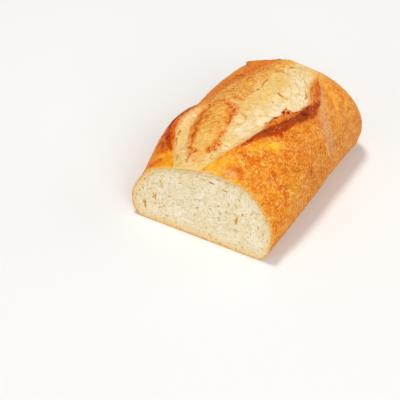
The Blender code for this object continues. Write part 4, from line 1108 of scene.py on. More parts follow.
# thin slits and openings, read off where they lie
SLITS = ((-2.9, 46.5, 2.10, 0.38, -0.02, 0.7), (3.8, 46.1, 3.41, 0.5, -0.04, 0.9), (8.5, 50.5, 2.93, 0.36,
         -0.10, 0.7), (16.0, 50.6, 3.08, 0.42, 0.02, 0.7), (15.0, 43.8, 3.19, 0.42, -0.13, 0.8), (14.7,
         39.8, 1.74, 0.36, -0.50, 0.55), (27.0, 40.7, 1.68, 0.4, -0.65, 0.6), (24.5, 35.7, 1.88, 0.36,
         -0.41, 0.5), (-1.1, 50.1, 5.09, 0.26, 0.24, 0.45), (10.1, 51.8, 3.47, 0.26, -0.08, 0.5), (19.2,
         50.8, 4.35, 0.24, -0.17, 0.45), (28.5, 47.9, 3.73, 0.22, -0.34, 0.4), (-36.8, 38.2, 2.04, 0.36,
         0.46, 0.6), (-47.3, 35.2, 2.45, 0.36, 0.35, 0.5), (-42.7, 36.8, 1.95, 0.3, 0.33, 0.4), (-10.9,
         34.4, 1.23, 0.3, 0.12, 0.5), (-48.9, 10.2, 4.41, 1, -1.25, 0.95), (-50.6, 12.2, 2.27, 0.9, 1.29,
         0.75), (-41.4, 20.2, 3.22, 0.75, 0.90, 0.8), (-40.7, 18.9, 1.66, 0.7, -1.52, 0.85), (-36.7, 31.0,
         3.03, 0.8, -1.30, 0.6), (-36.6, 29.3, 1.52, 0.7, -0.23, 0.5), (-51.7, 23.1, 1.70, 0.55, -0.84,
         0.75), (-56.7, 16.0, 1.36, 0.6, -1.24, 0.85), (-54.6, 20.1, 1.53, 0.5, 0.47, 0.6), (-51.2, 30.8,
         2.03, 0.45, 0.98, 0.7), (-46.3, 24.4, 2.74, 0.45, 0.35, 0.5), (-22.3, 37.1, 0.77, 0.7, 0.68, 0.8),
         (-21.8, 42.1, 1.09, 0.4, 0.24, 0.5), (-11.2, 39.6, 0.98, 0.4, 0.88, 0.45), (-25.4, 22.8, 1.54,
         0.35, 0.40, 0.5), (-17.1, 18.8, 1.27, 0.5, 0.63, 0.45), (19.4, 34.5, 1.39, 0.55, -1.46, 0.85),
         (11.8, 30.3, 1.45, 0.5, 0.62, 0.6), (9.3, 29.0, 1.10, 0.4, 0.44, 0.4), (0.5, 28.2, 1.00, 0.6, 0.35,
         0.5), (18.4, 27.3, 1.56, 1.1, -0.68, 0.5), (13.5, 24.6, 0.97, 0.6, 0.16, 0.45), (31.0, 30.2, 1.39,
         0.85, -1.09, 0.95), (27.0, 23.5, 3.63, 1.1, -1.63, 0.95), (38.4, 33.4, 1.55, 0.5, 0.47, 0.5),
         (12.7, 21.3, 1.39, 0.6, 0.16, 0.45), (2.0, 15.8, 1.98, 0.4, 0.42, 0.5), (19.0, 22.0, 0.66, 0.4,
         -0.12, 0.4), (37.0, 29.8, 1.08, 0.4, 0.49, 0.4), (36.9, 23.9, 0.64, 0.4, -0.90, 0.5), (44.8, 24.5,
         0.98, 0.6, -0.15, 0.6), (49.1, 21.0, 1.74, 0.6, -1.47, 0.85), (46.9, 17.9, 1.13, 0.5, -0.12, 0.5),
         (38.0, 22.1, 0.49, 0.4, -0.50, 0.5), (20.4, 18.4, 1.46, 0.35, 0.36, 0.4))
for x, h, ra, rb, an, dark in SLITS:
    add_pore(x * MM, h * MM, ra * MM, (rb + 0.10) * MM, an, (0.4 + 0.5 * dark) * min(rb + 0.15, 0.9) * MM,
             (0.35 + 0.65 * dark) * (1.35 if rb < 0.55 and dark >= 0.6 else 1.0), 0.14)
for x, h, ra, rb, an, dark in PORES:
    add_pore(x * MM, h * MM, ra * MM, rb * MM, an, (0.4 + 0.6 * dark) * min(rb, 0.9) * MM, 0.25 + 0.75 * dark, 0.16)

# thin separated layers just under the top crust
along0 = np.interp(at, np.arange(NC + 1), np.append(S[0], S[0, -1]))[None] + 0 * FX
lay_p = np.stack([along0 * 0.28, edge_d * 2.2, FX * 0], -1)
layers = np.zeros(FX.shape)
for d0, w0, sd, amt in ((0.00105, 0.00022, 141, 1.0), (0.0021, 0.00026, 142, 0.9), (0.0033, 0.00026, 143, 0.6)):
    wander = 0.0005 * noise(np.stack([along0, FX * 0, FX * 0], -1), 0.016, sd)
    gate = step(-0.10, 0.25, noise(np.stack([along0, FX * 0 + 0.3, FX * 0], -1), 0.0085, sd + 5))
    layers = np.maximum(layers, amt * gate * np.exp(-((edge_d - d0 - wander) / w0) ** 2))
layers *= toprim
crumb_noise = fbm(face_p, 0.0019, 3, 0.6, 151)
crumb_mid = fbm(face_p, 0.0065, 2, 0.5, 152)
depth_in += pore + 0.00030 * layers + 0.00008 * crumb_noise + 0.00012 * crumb_mid
depth_in = np.maximum(depth_in, 0.00004)
keep_rim = step(0.0, 0.0009, edge_d)
depth_in = 0.00012 + (depth_in - 0.00012) * (0.25 + 0.75 * keep_rim)
front = FX[..., None] * np.array([1.0, 0, 0]) + FH[..., None] * k_up - depth_in[..., None] * k_n
front[..., 2] = np.maximum(front[..., 2], 0.0003)

bxx, bhh = inset(oxx, ohh, rw + 0.0002)
back1 = plane_point(bxx, bhh, 0.0066)
verts = np.concatenate([back1, front.reshape(-1, 3)]) - SHIFT
faces = [tuple(range(NU))]
# rows run from the back, over the rim, to the middle of the face
faces += grid_faces(NV + 1, NU, True)
mid_row = NV * NU
left_i = int(np.argmin(tx + 1e-9 * np.arange(NU)))
faces = [f[::-1] for f in faces]
inner_ring = list(range(mid_row, mid_row + NU))
verts = np.concatenate([verts, [verts[inner_ring].mean(0)]])
c_id = len(verts) - 1
for j in range(NU):
    faces.append((inner_ring[j], inner_ring[(j + 1) % NU], c_id)[::-1])


def putf(v, back=0.0, centre=0.0):
    return np.concatenate([np.full(NU, back), np.asarray(v, float).ravel(), [centre]])


fu = (FX + 0.062) / 0.124
fv = (FH + 0.001) / 0.0545
fu_all = putf(fu, 0.001, 0.5)
fv_all = putf(fv, 0.001, 0.5)
uv = []
for f in faces:
    for i in f:
        uv.append((float(fu_all[i]), float(fv_all[i])))
rim_near = np.exp(-(edge_d / 0.0011) ** 2)
side_r = step(0.010, 0.045, FX)
crumb = make_mesh("crumb", verts, faces, {
    "pore": putf(pore_shade), "layers": putf(layers), "rimnear": putf(rim_near),
    "siderim": putf((1 - toprim) * np.exp(-(edge_d / 0.0042) ** 2)),
    "toprim": putf(np.broadcast_to(toprim, FX.shape) * np.exp(-(edge_d / 0.0030) ** 2)),
    "edged": putf(np.clip(edge_d / 0.020, 0, 1)), "noise": putf(0.5 + 0.5 * crumb_noise),
}, uv)


# ================================================================= materials
class Nodes:
    """Short names for wiring one material."""

    def __init__(self, name):
        self.mat = bpy.data.materials.new(name)
        self.mat.use_nodes = True
        self.nt = self.mat.node_tree
        self.bsdf = self.nt.nodes["Principled BSDF"]
        tc = self.nt.nodes.new("ShaderNodeTexCoord")
        self.obj = tc.outputs["Object"]

    def link(self, value, socket):
        if isinstance(value, bpy.types.NodeSocket):
            self.nt.links.new(value, socket)
        else:
            socket.default_value = value

    def attr(self, name):
        n = self.nt.nodes.new("ShaderNodeAttribute")
        n.attribute_name = name
        return n.outputs["Fac"]

    def noise(self, scale, detail=3.0, rough=0.55, vec=None, distort=0.0):
        n = self.nt.nodes.new("ShaderNodeTexNoise")
        self.nt.links.new(vec or self.obj, n.inputs["Vector"])
        n.inputs["Scale"].default_value = scale
        n.inputs["Detail"].default_value = detail
        n.inputs["Roughness"].default_value = rough
        n.inputs["Distortion"].default_value = distort
        return n.outputs["Fac"]

    def voronoi(self, scale, feature="F1", vec=None, rnd=1.0):
        n = self.nt.nodes.new("ShaderNodeTexVoronoi")
        n.feature = feature
        self.nt.links.new(vec or self.obj, n.inputs["Vector"])
        n.inputs["Scale"].default_value = scale
        n.inputs["Randomness"].default_value = rnd
        return n

    def math(self, op, a, b=0.0, c=None, clamp=False):
        n = self.nt.nodes.new("ShaderNodeMath")
        n.operation = op
        n.use_clamp = clamp
        self.link(a, n.inputs[0])
        self.link(b, n.inputs[1])
        if c is not None:
            self.link(c, n.inputs[2])
        return n.outputs[0]

    def range(self, x, a, b, lo=0.0, hi=1.0):
        n = self.nt.nodes.new("ShaderNodeMapRange")
        n.interpolation_type = "SMOOTHSTEP"
        self.link(x, n.inputs["Value"])
        n.inputs["From Min"].default_value = a
        n.inputs["From Max"].default_value = b
        n.inputs["To Min"].default_value = lo
        n.inputs["To Max"].default_value = hi
        return n.outputs["Result"]

    def ramp(self, x, stops):
        n = self.nt.nodes.new("ShaderNodeValToRGB")
        self.link(x, n.inputs["Fac"])
        e = n.color_ramp.elements
        while len(e) < len(stops):
            e.new(0.5)
        for el, (pos, c) in zip(e, stops):
            el.position = pos
            el.color = (*c, 1.0)
        return n.outputs["Color"]

    def tint(self, colour, rgb):
        out = self.mix(1.0, colour, rgb)
        out.node.blend_type = "MULTIPLY"
        return out

    def mix(self, fac, a, b):
        n = self.nt.nodes.new("ShaderNodeMix")
        n.data_type = "RGBA"
        self.link(fac, n.inputs[0])
        for v, i in ((a, 6), (b, 7)):
            if isinstance(v, tuple):
                n.inputs[i].default_value = (*v, 1.0)
            else:
                self.nt.links.new(v, n.inputs[i])
        return n.outputs[2]

    def ridge(self, n, centre, half):
        d = self.math("ABSOLUTE", self.math("SUBTRACT", n, centre))
        return self.range(d, half, half * 0.25)

    def split(self, colour):
        n = self.nt.nodes.new("ShaderNodeSeparateColor")
        self.nt.links.new(colour, n.inputs[0])
        return n.outputs

    def vec(self, x, y, z):
        n = self.nt.nodes.new("ShaderNodeCombineXYZ")
        for v, i in ((x, 0), (y, 1), (z, 2)):
            self.link(v, n.inputs[i])
        return n.outputs[0]

    def mix_val(self, fac, a, b):
        n = self.nt.nodes.new("ShaderNodeMix")
        n.data_type = "FLOAT"
        self.link(fac, n.inputs[0])
        self.link(a, n.inputs[2])
        self.link(b, n.inputs[3])
        return n.outputs[0]

    def mul(self, a, b):
        return self.math("MULTIPLY", a, b, clamp=True)

    def vec_scale(self, s):
        n = self.nt.nodes.new("ShaderNodeMapping")
        n.inputs["Scale"].default_value = s
        self.nt.links.new(self.obj, n.inputs["Vector"])
        return n.outputs["Vector"]

    def bump(self, height, strength, distance, normal=None):
        n = self.nt.nodes.new("ShaderNodeBump")
        n.inputs["Strength"].default_value = strength
        n.inputs["Distance"].default_value = distance
        self.nt.links.new(height, n.inputs["Height"])
        if normal is not None:
            self.nt.links.new(normal, n.inputs["Normal"])
        return n.outputs["Normal"]


def srgb(r, g, b):
    def f(c):
        c /= 255.0
        return c / 12.92 if c <= 0.04045 else ((c + 0.055) / 1.055) ** 2.4
    return (f(r), f(g), f(b))


def crust_material():
    m = Nodes("crust")
    big = m.noise(24, 3, 0.5)
    mid = m.noise(150, 3, 0.6)
    small = m.noise(470, 3, 0.6)
    tiny = m.noise(1050, 2, 0.6)
    gate = m.noise(62, 3, 0.55)
    gate2 = m.noise(88, 2, 0.5, distort=0.4)

    # ---- browned crust
    c = m.ramp(big, [(0.36, srgb(230, 124, 20)), (0.50, srgb(239, 140, 26)), (0.64, srgb(248, 162, 36))])
    c = m.mix(m.mul(m.range(mid, 0.50, 0.62), 0.50), c, srgb(216, 98, 12))
    c = m.mix(m.mul(m.range(mid, 0.46, 0.34), 0.50), c, srgb(253, 176, 44))
    c = m.mix(m.mul(m.attr("flankred"), m.range(mid, 0.36, 0.60, 0.55, 1.0)), c, srgb(214, 92, 10))
    c = m.mix(m.mul(m.range(small, 0.50, 0.60), 0.45), c, srgb(208, 94, 14))
    c = m.mix(m.mul(m.range(small, 0.48, 0.38), 0.42), c, srgb(253, 182, 60))
    c = m.mix(m.mul(m.range(tiny, 0.55, 0.66), 0.42), c, srgb(190, 78, 10))
    # lower right flank: duller tan with painted shade
    low_flank_tan_and_shade = m.mix(m.range(small, 0.42, 0.58), srgb(224, 140, 48), srgb(202, 110, 28))
    c = m.mix(m.mul(m.attr("low_flank_tan_and_shade"), 0.60), c, low_flank_tan_and_shade)
    c = m.mix(m.mul(m.attr("palepatch"), 0.60), c, m.mix(m.range(small, 0.42, 0.58), srgb(246, 184, 104), srgb(226, 148, 66)))
    ls = m.mix(m.range(mid, 0.42, 0.58), srgb(254, 154, 18), srgb(242, 126, 6))
    c = m.mix(m.mul(m.attr("leftside"), 0.75), c, ls)
    c = m.tint(c, (0.980, 0.93, 0.72))
    c = m.mix(m.mul(m.attr("underear"), 0.80), c, m.tint(c, (1.0, 0.93, 0.65)))
    farc = m.mix(m.range(mid, 0.42, 0.58), srgb(250, 176, 82), srgb(224, 136, 52))
    farc = m.mix(m.mul(m.range(small, 0.46, 0.60), 0.45), farc, srgb(212, 118, 42))
    farc = m.mix(m.mul(m.range(tiny, 0.55, 0.64), 0.40), farc, srgb(200, 100, 34))
    c = m.mix(m.mul(m.attr("far"), 0.66), c, farc)
    # painted sheen: the pinkish band of reflected light
    sheen_colour = m.mix(m.range(small, 0.42, 0.58), srgb(230, 172, 124), srgb(212, 148, 98))
    c = m.mix(m.mul(m.attr("painted_sheen_band"), 0.90), c, sheen_colour)
    goldc = m.mix(m.range(mid, 0.42, 0.58), srgb(250, 172, 46), srgb(234, 138, 26))
    c = m.mix(m.mul(m.attr("goldband"), 0.85), c, goldc)
    c = m.mix(m.mul(m.attr("orange"), m.range(small, 0.36, 0.58, 0.55, 1.0)), c, srgb(222, 106, 18))
    yel = m.mix(m.range(mid, 0.42, 0.60), srgb(255, 210, 52), srgb(250, 190, 36))
    c = m.mix(m.mul(m.attr("yellow"), m.range(small, 0.62, 0.42, 0.55, 0.92)), c, yel)
    c = m.mix(m.range(m.attr("rust"), 0.05, 0.60, 0.0, 0.92), c, m.mix(m.range(small, 0.42, 0.58), srgb(242, 116, 10), srgb(222, 88, 2)))
    lowc = m.mix(m.range(mid, 0.4, 0.6), srgb(220, 136, 12), srgb(206, 116, 6))
    c = m.mix(m.mul(m.attr("low"), 0.7), c, lowc)
    c = m.mix(m.mul(m.attr("baselight"), 0.40), c, srgb(240, 188, 96))

    # dark pin pricks; pale specks, partly the crust's own small pale blisters and partly painted glints; pale creases
    v2 = m.voronoi(470)
    p2 = m.split(v2.outputs["Color"])
    dark = m.mul(m.range(v2.outputs["Distance"], 0.36, 0.14), m.range(p2[1], 0.55, 0.70))
    c = m.mix(m.mul(dark, m.range(gate, 0.40, 0.60, 0.25, 0.65)), c, srgb(178, 74, 18))
    v1 = m.voronoi(590)
    p1 = m.split(v1.outputs["Color"])
    speck = m.mul(m.range(v1.outputs["Distance"], 0.36, 0.20), m.range(p1[0], 0.60, 0.70))
    speck = m.mul(speck, m.range(gate, 0.62, 0.42, 0.30, 1.0))
    v3 = m.voronoi(400)
    p3 = m.split(v3.outputs["Color"])
    drop = m.mul(m.range(v3.outputs["Distance"], 0.25, 0.12), m.range(p3[2], 0.55, 0.70))
    speck_glint = m.math("MAXIMUM", speck, drop)
    n1 = m.noise(150, 2, 0.5, distort=1.6)
    n2 = m.noise(235, 1.5, 0.5, distort=2.0)
    n3 = m.noise(95, 2, 0.5, distort=1.2)
    line = m.mul(m.ridge(n1, 0.50, 0.017), m.range(gate2, 0.46, 0.58))
    line = m.math("MAXIMUM", line, m.mul(m.ridge(n2, 0.47, 0.019), m.range(gate, 0.44, 0.56)))
    line = m.math("MAXIMUM", line, m.mul(m.ridge(n3, 0.53, 0.012), m.range(gate2, 0.55, 0.45)))
    line = m.mul(line, m.range(small, 0.64, 0.42, 0.35, 1.0))
    line = m.math("MAXIMUM", line, m.attr("lines"), clamp=True)
    line = m.math("MAXIMUM", line, m.range(m.attr("strokes"), 0.42, 0.66, 0.0, 0.80), clamp=True)
    keep = m.math("SUBTRACT", 1.0, m.math("MULTIPLY", m.attr("far"), 0.22))
    keep = m.mul(keep, m.math("SUBTRACT", 1.0, m.math("MULTIPLY", m.attr("leftnear"), 0.70)))
    c = m.mix(m.mul(m.mul(line, 0.84), keep), c, srgb(255, 206, 118))
    c = m.mix(m.mul(m.mul(speck_glint, 0.86), keep), c, srgb(255, 212, 128))
    # painted highlight on the blisters
    c = m.mix(m.mul(m.mul(m.attr("shine"), 0.25), keep), c, srgb(252, 196, 108))
    spot = m.mul(m.attr("spots"), m.range(small, 0.34, 0.52, 0.55, 1.0))
    c = m.mix(m.mul(spot, 0.85), c, srgb(158, 52, 12))
    c = m.mix(m.mul(m.attr("bruise"), m.range(small, 0.36, 0.56, 0.30, 0.66)), c, srgb(184, 74, 22))
    c = m.mix(m.mul(m.attr("bred"), m.range(small, 0.36, 0.52, 0.60, 0.92)), c, srgb(220, 88, 12))
    c = m.mix(m.range(m.attr("btop"), 0.25, 0.90, 0.0, 0.85), c, m.mix(m.range(small, 0.40, 0.58), srgb(250, 186, 116), srgb(236, 142, 70)))
    # flat sole: browner, floury
    solec = m.ramp(m.noise(60, 5, 0.65), [(0.3, srgb(176, 104, 44)), (0.5, srgb(204, 132, 62)), (0.7, srgb(226, 168, 98))])
    flour = m.range(m.noise(260, 4, 0.7), 0.54, 0.70)
    solec = m.mix(m.mul(flour, 0.6), solec, srgb(238, 212, 170))
    c = m.mix(m.attr("under"), c, solec)
    # scorched ear and left lip
    blend = m.math("ADD", m.math("MULTIPLY", small, 0.6), m.math("MULTIPLY", mid, 0.4))
    grain = m.math("MAXIMUM", speck, m.range(tiny, 0.56, 0.64))
    burn = m.mul(m.attr("burn"), m.range(blend, 0.62, 0.42, 0.70, 1.0))
    burnc = m.mix(m.range(small, 0.44, 0.58), srgb(222, 94, 14), srgb(180, 56, 6))
    farb = m.mix(m.range(mid, 0.42, 0.58), srgb(244, 146, 46), srgb(218, 98, 20))
    farb = m.mix(m.mul(m.range(small, 0.52, 0.60), 0.62), farb, srgb(168, 52, 10))
    farb = m.mix(m.mul(m.range(mid, 0.50, 0.60), 0.40), farb, srgb(180, 60, 12))
    burnc = m.mix(m.attr("farburn"), burnc, farb)
    burnc = m.mix(m.mul(m.attr("tipglow"), m.range(small, 0.40, 0.60, 0.50, 0.22)), burnc, srgb(240, 150, 64))
    corec = m.mix(m.range(small, 0.42, 0.58), srgb(184, 54, 10), srgb(124, 24, 6))
    burnc = m.mix(m.range(m.mul(m.attr("core"), m.range(blend, 0.36, 0.52, 0.80, 1.0)), 0.10, 0.52), burnc, corec)
    burnc = m.mix(m.mul(m.range(tiny, 0.56, 0.64), 0.35), burnc, srgb(226, 116, 34))
    # pale specks on the scorched band, partly painted glints
    burnc = m.mix(m.mul(m.math("MAXIMUM", speck, drop), 0.85), burnc, srgb(246, 158, 74))
    burnc = m.mix(m.mul(m.attr("darkest"), m.range(small, 0.36, 0.54, 0.60, 1.0)), burnc, srgb(80, 12, 4))
    c = m.mix(burn, c, burnc)
    flapc = m.mix(m.range(small, 0.44, 0.56), srgb(246, 152, 54), srgb(212, 98, 18))
    flapc = m.mix(m.mul(grain, 0.45), flapc, srgb(248, 180, 96))
    flapc = m.mix(m.mul(m.attr("flapfar"), 0.75), flapc, m.mix(m.range(small, 0.42, 0.58), srgb(250, 196, 112), srgb(228, 142, 60)))
    c = m.mix(m.mul(m.attr("flaplow"), 0.90), c, flapc)
    lz = m.mix(m.range(small, 0.42, 0.58), srgb(240, 122, 12), srgb(214, 80, 2))
    c = m.mix(m.mul(m.attr("leftzone"), 0.92), c, lz)
    c = m.mix(m.range(m.mul(m.attr("leftred"), m.range(blend, 0.38, 0.52, 0.80, 1.0)), 0.05, 0.90, 0.0, 0.92), c, m.mix(m.range(small, 0.44, 0.58), srgb(208, 70, 2), srgb(156, 32, 0)))
    sz = m.mix(m.range(small, 0.42, 0.58), srgb(250, 154, 30), srgb(228, 114, 10))
    sz = m.mix(m.mul(m.range(tiny, 0.52, 0.60), 0.55), sz, srgb(200, 84, 8))
    c = m.mix(m.mul(m.attr("stripzone"), 0.92), c, sz)
    c = m.mix(m.range(m.attr("stripred"), 0.10, 0.80, 0.0, 0.90), c, m.mix(m.range(small, 0.44, 0.58), srgb(240, 112, 8), srgb(212, 82, 2)))
    c = m.mix(m.range(m.attr("stripdark"), 0.20, 0.72, 0.0, 0.76), c, srgb(168, 56, 6))
    c = m.mix(m.range(m.attr("leftblack"), 0.12, 0.75, 0.0, 0.90), c, m.mix(m.range(m.attr("leftblack"), 0.45, 0.90), srgb(140, 42, 6), srgb(84, 22, 8)))
    c = m.mix(m.mul(m.attr("tipedge"), 0.62), c, srgb(146, 80, 32))

    # ---- bloom, the pale torn crumb that opened up and dried
    fv = m.vec(m.attr("flowa"), m.attr("flowb"), 0.0)
    hv = m.vec(m.attr("humpa"), m.attr("humpb"), 0.3)
    s1 = m.mix_val(m.attr("lengthwise"), m.noise(84, 3, 0.62, fv, 0.5), m.noise(70, 3, 0.6, hv, 0.4))
    s2 = m.mix_val(m.attr("lengthwise"), m.noise(160, 2, 0.6, fv, 0.8), m.noise(130, 2, 0.6, hv, 0.5))
    q1 = m.noise(230, 2, 0.55, distort=1.6)
    hump = m.attr("hump")
    pale_and_highlight = m.attr("pale_and_highlight")
    pale = m.ramp(mid, [(0.36, srgb(240, 200, 122)), (0.50, srgb(246, 214, 144)), (0.64, srgb(249, 226, 170))])
    # whitest cream: pale bloom and painted highlight
    pale = m.mix(m.mul(pale_and_highlight, m.range(mid, 0.38, 0.54, 0.45, 0.90)), pale, srgb(253, 242, 212))
    s0 = m.mix_val(m.attr("lengthwise"), m.noise(38, 3, 0.6, fv, 0.6), m.noise(40, 3, 0.6, hv, 0.5))
    pale = m.mix(m.mul(m.range(s0, 0.51, 0.62), 0.55), pale, srgb(240, 196, 112))
    pale = m.mix(m.mul(m.range(s0, 0.47, 0.36), 0.55), pale, srgb(253, 242, 212))
    quiet = m.math("SUBTRACT", 1.0, m.math("MULTIPLY", pale_and_highlight, 0.45))
    pale = m.mix(m.mul(m.mul(m.range(s1, 0.50, 0.60), 0.58), quiet), pale, srgb(236, 182, 92))
    pale = m.mix(m.mul(m.mul(m.range(s2, 0.53, 0.62), 0.54), quiet), pale, srgb(224, 166, 80))
    pale = m.mix(m.mul(m.range(s2, 0.47, 0.37), 0.40), pale, srgb(254, 243, 206))
    pale = m.mix(m.mul(m.ridge(q1, 0.50, 0.020), m.mul(m.range(gate, 0.46, 0.58), m.mul(quiet, 0.55))), pale, srgb(220, 152, 66))
    pale = m.mix(m.range(m.attr("goldstroke"), 0.20, 0.50, 0.0, 0.75), pale, srgb(222, 158, 74))
    pale = m.mix(m.mul(m.attr("mellow"), 0.42), pale, srgb(242, 198, 110))
    pale = m.mix(m.mul(m.attr("fargold"), 0.36), pale, srgb(242, 196, 106))
    pale = m.tint(pale, (0.980, 0.950, 0.890))
    pale = m.mix(m.mul(m.attr("nearcut"), 0.55), pale, srgb(250, 206, 106))
    # browned part
    tan = m.ramp(s1, [(0.38, srgb(253, 202, 104)), (0.47, srgb(248, 184, 76)), (0.54, srgb(240, 158, 46)), (0.62, srgb(222, 120, 22))])
    tan = m.mix(m.mul(m.range(s2, 0.53, 0.62), 0.62), tan, srgb(212, 106, 18))
    tan = m.mix(m.mul(m.range(s2, 0.47, 0.37), 0.50), tan, srgb(255, 218, 130))
    tan = m.mix(m.mul(m.ridge(q1, 0.50, 0.022), 0.50), tan, srgb(200, 96, 16))
    tf = m.attr("tanfar")
    tan = m.mix(m.mul(m.mul(tf, m.range(s2, 0.535, 0.62)), 0.60), tan, srgb(196, 84, 8))
    tan = m.mix(m.mul(m.mul(tf, m.range(s2, 0.465, 0.385)), 0.60), tan, srgb(255, 226, 150))
    tan = m.mix(m.mul(m.mul(tf, m.range(s0, 0.47, 0.38)), 0.45), tan, srgb(253, 206, 112))
    tan = m.mix(m.mul(m.attr("humplow"), 0.34), tan, srgb(253, 214, 132))
    tz = m.math("MAXIMUM", m.math("MULTIPLY", hump, 0.95), m.attr("tanfar"))
    tz = m.mul(tz, m.range(m.math("ADD", m.math("MULTIPLY", mid, 0.6), m.math("MULTIPLY", s1, 0.4)), 0.36, 0.50, 0.60, 1.0))
    b = m.mix(tz, pale, tan)
    b = m.mix(m.mul(m.attr("gold"), 0.75), b, srgb(240, 188, 84))
    b = m.mix(m.mul(m.attr("redgold"), m.range(small, 0.40, 0.56, 0.55, 0.95)), b, srgb(234, 132, 34))
    clot = m.noise(250, 3, 0.7, distort=1.0)
    zone = m.mul(m.range(m.attr("streakzone"), 0.10, 0.46), m.range(clot, 0.42, 0.55, 0.25, 1.0))
    b = m.mix(m.mul(zone, 0.86), b, srgb(230, 124, 26))
    sk = m.mul(m.range(m.attr("streak"), 0.14, 0.48), m.range(clot, 0.43, 0.54, 0.30, 1.0))
    b = m.mix(m.mul(sk, 0.88), b, srgb(212, 98, 14))
    sk2 = m.mul(m.range(m.attr("streak"), 0.40, 0.72), m.range(clot, 0.46, 0.56, 0.10, 1.0))
    b = m.mix(m.mul(sk2, 0.86), b, srgb(180, 66, 6))
    ck = m.attr("crack")
    b = m.mix(m.range(ck, 0.15, 0.50, 0.0, 0.70), b, srgb(228, 160, 70))
    b = m.mix(m.mul(m.range(ck, 0.38, 0.66), m.range(clot, 0.40, 0.54, 0.45, 0.95)), b, srgb(178, 92, 12))
    b = m.mix(m.range(m.attr("olive"), 0.20, 0.52, 0.0, 0.84), b, srgb(184, 132, 50))
    # painted shade in the small holes
    b = m.mix(m.mul(m.attr("holes"), 0.75), b, srgb(150, 100, 42))
    b = m.mix(m.mul(m.attr("flap"), 0.97), b, flapc)
    farb = m.mix(m.mul(m.range(small, 0.47, 0.40), 0.85), farb, srgb(246, 170, 84))
    farb = m.mix(m.mul(speck_glint, 0.70), farb, srgb(248, 180, 96))
    b = m.mix(m.mul(m.attr("farin"), m.range(blend, 0.60, 0.46, 0.75, 1.0)), b, farb)
    b = m.mix(m.mul(m.attr("flaprim"), m.range(small, 0.36, 0.56, 0.20, 0.80)), b, srgb(170, 66, 10))
    # painted shade of the small holes in the flap
    b = m.mix(m.range(m.attr("flapdark"), 0.22, 0.55, 0.0, 0.95), b, srgb(116, 26, 4))
    c = m.mix(m.attr("bloom"), c, b)
    # painted highlight along the lip's edge
    c = m.mix(m.mul(m.attr("edge"), 0.85), c, srgb(254, 220, 148))
    c = m.mix(m.mul(m.attr("fringe"), m.range(small, 0.60, 0.44, 0.60, 0.95)), c, srgb(248, 190, 98))
    # cut edge of the crust
    rimc = m.mix(m.range(small, 0.40, 0.60), srgb(246, 216, 160), srgb(232, 176, 98))
    c = m.mix(m.attr("lowcut"), c, srgb(240, 200, 134))
    c = m.mix(m.attr("cutrim"), c, rimc)

    m.nt.links.new(c, m.bsdf.inputs["Base Color"])
    rough = m.range(small, 0.36, 0.62, 0.42, 0.62)
    rough = m.math("ADD", rough, m.math("MULTIPLY", m.attr("bloom"), 0.20), clamp=True)
    m.nt.links.new(rough, m.bsdf.inputs["Roughness"])
    m.bsdf.inputs["Specular IOR Level"].default_value = 0.08
    m.bsdf.inputs["Specular Tint"].default_value = (1.0, 0.86, 0.66, 1.0)
    h = m.math("ADD", m.math("MULTIPLY", small, 0.70), m.math("MULTIPLY", tiny, 0.40))
    h = m.math("ADD", h, m.math("MULTIPLY", speck_glint, 0.20))
    h = m.math("ADD", h, m.math("MULTIPLY", line, 0.12))
    h = m.math("ADD", h, m.math("MULTIPLY", m.mul(m.attr("bloom"), s1), 0.9))
    m.nt.links.new(m.bump(h, 0.75, 0.0012), m.bsdf.inputs["Normal"])
    return m.mat


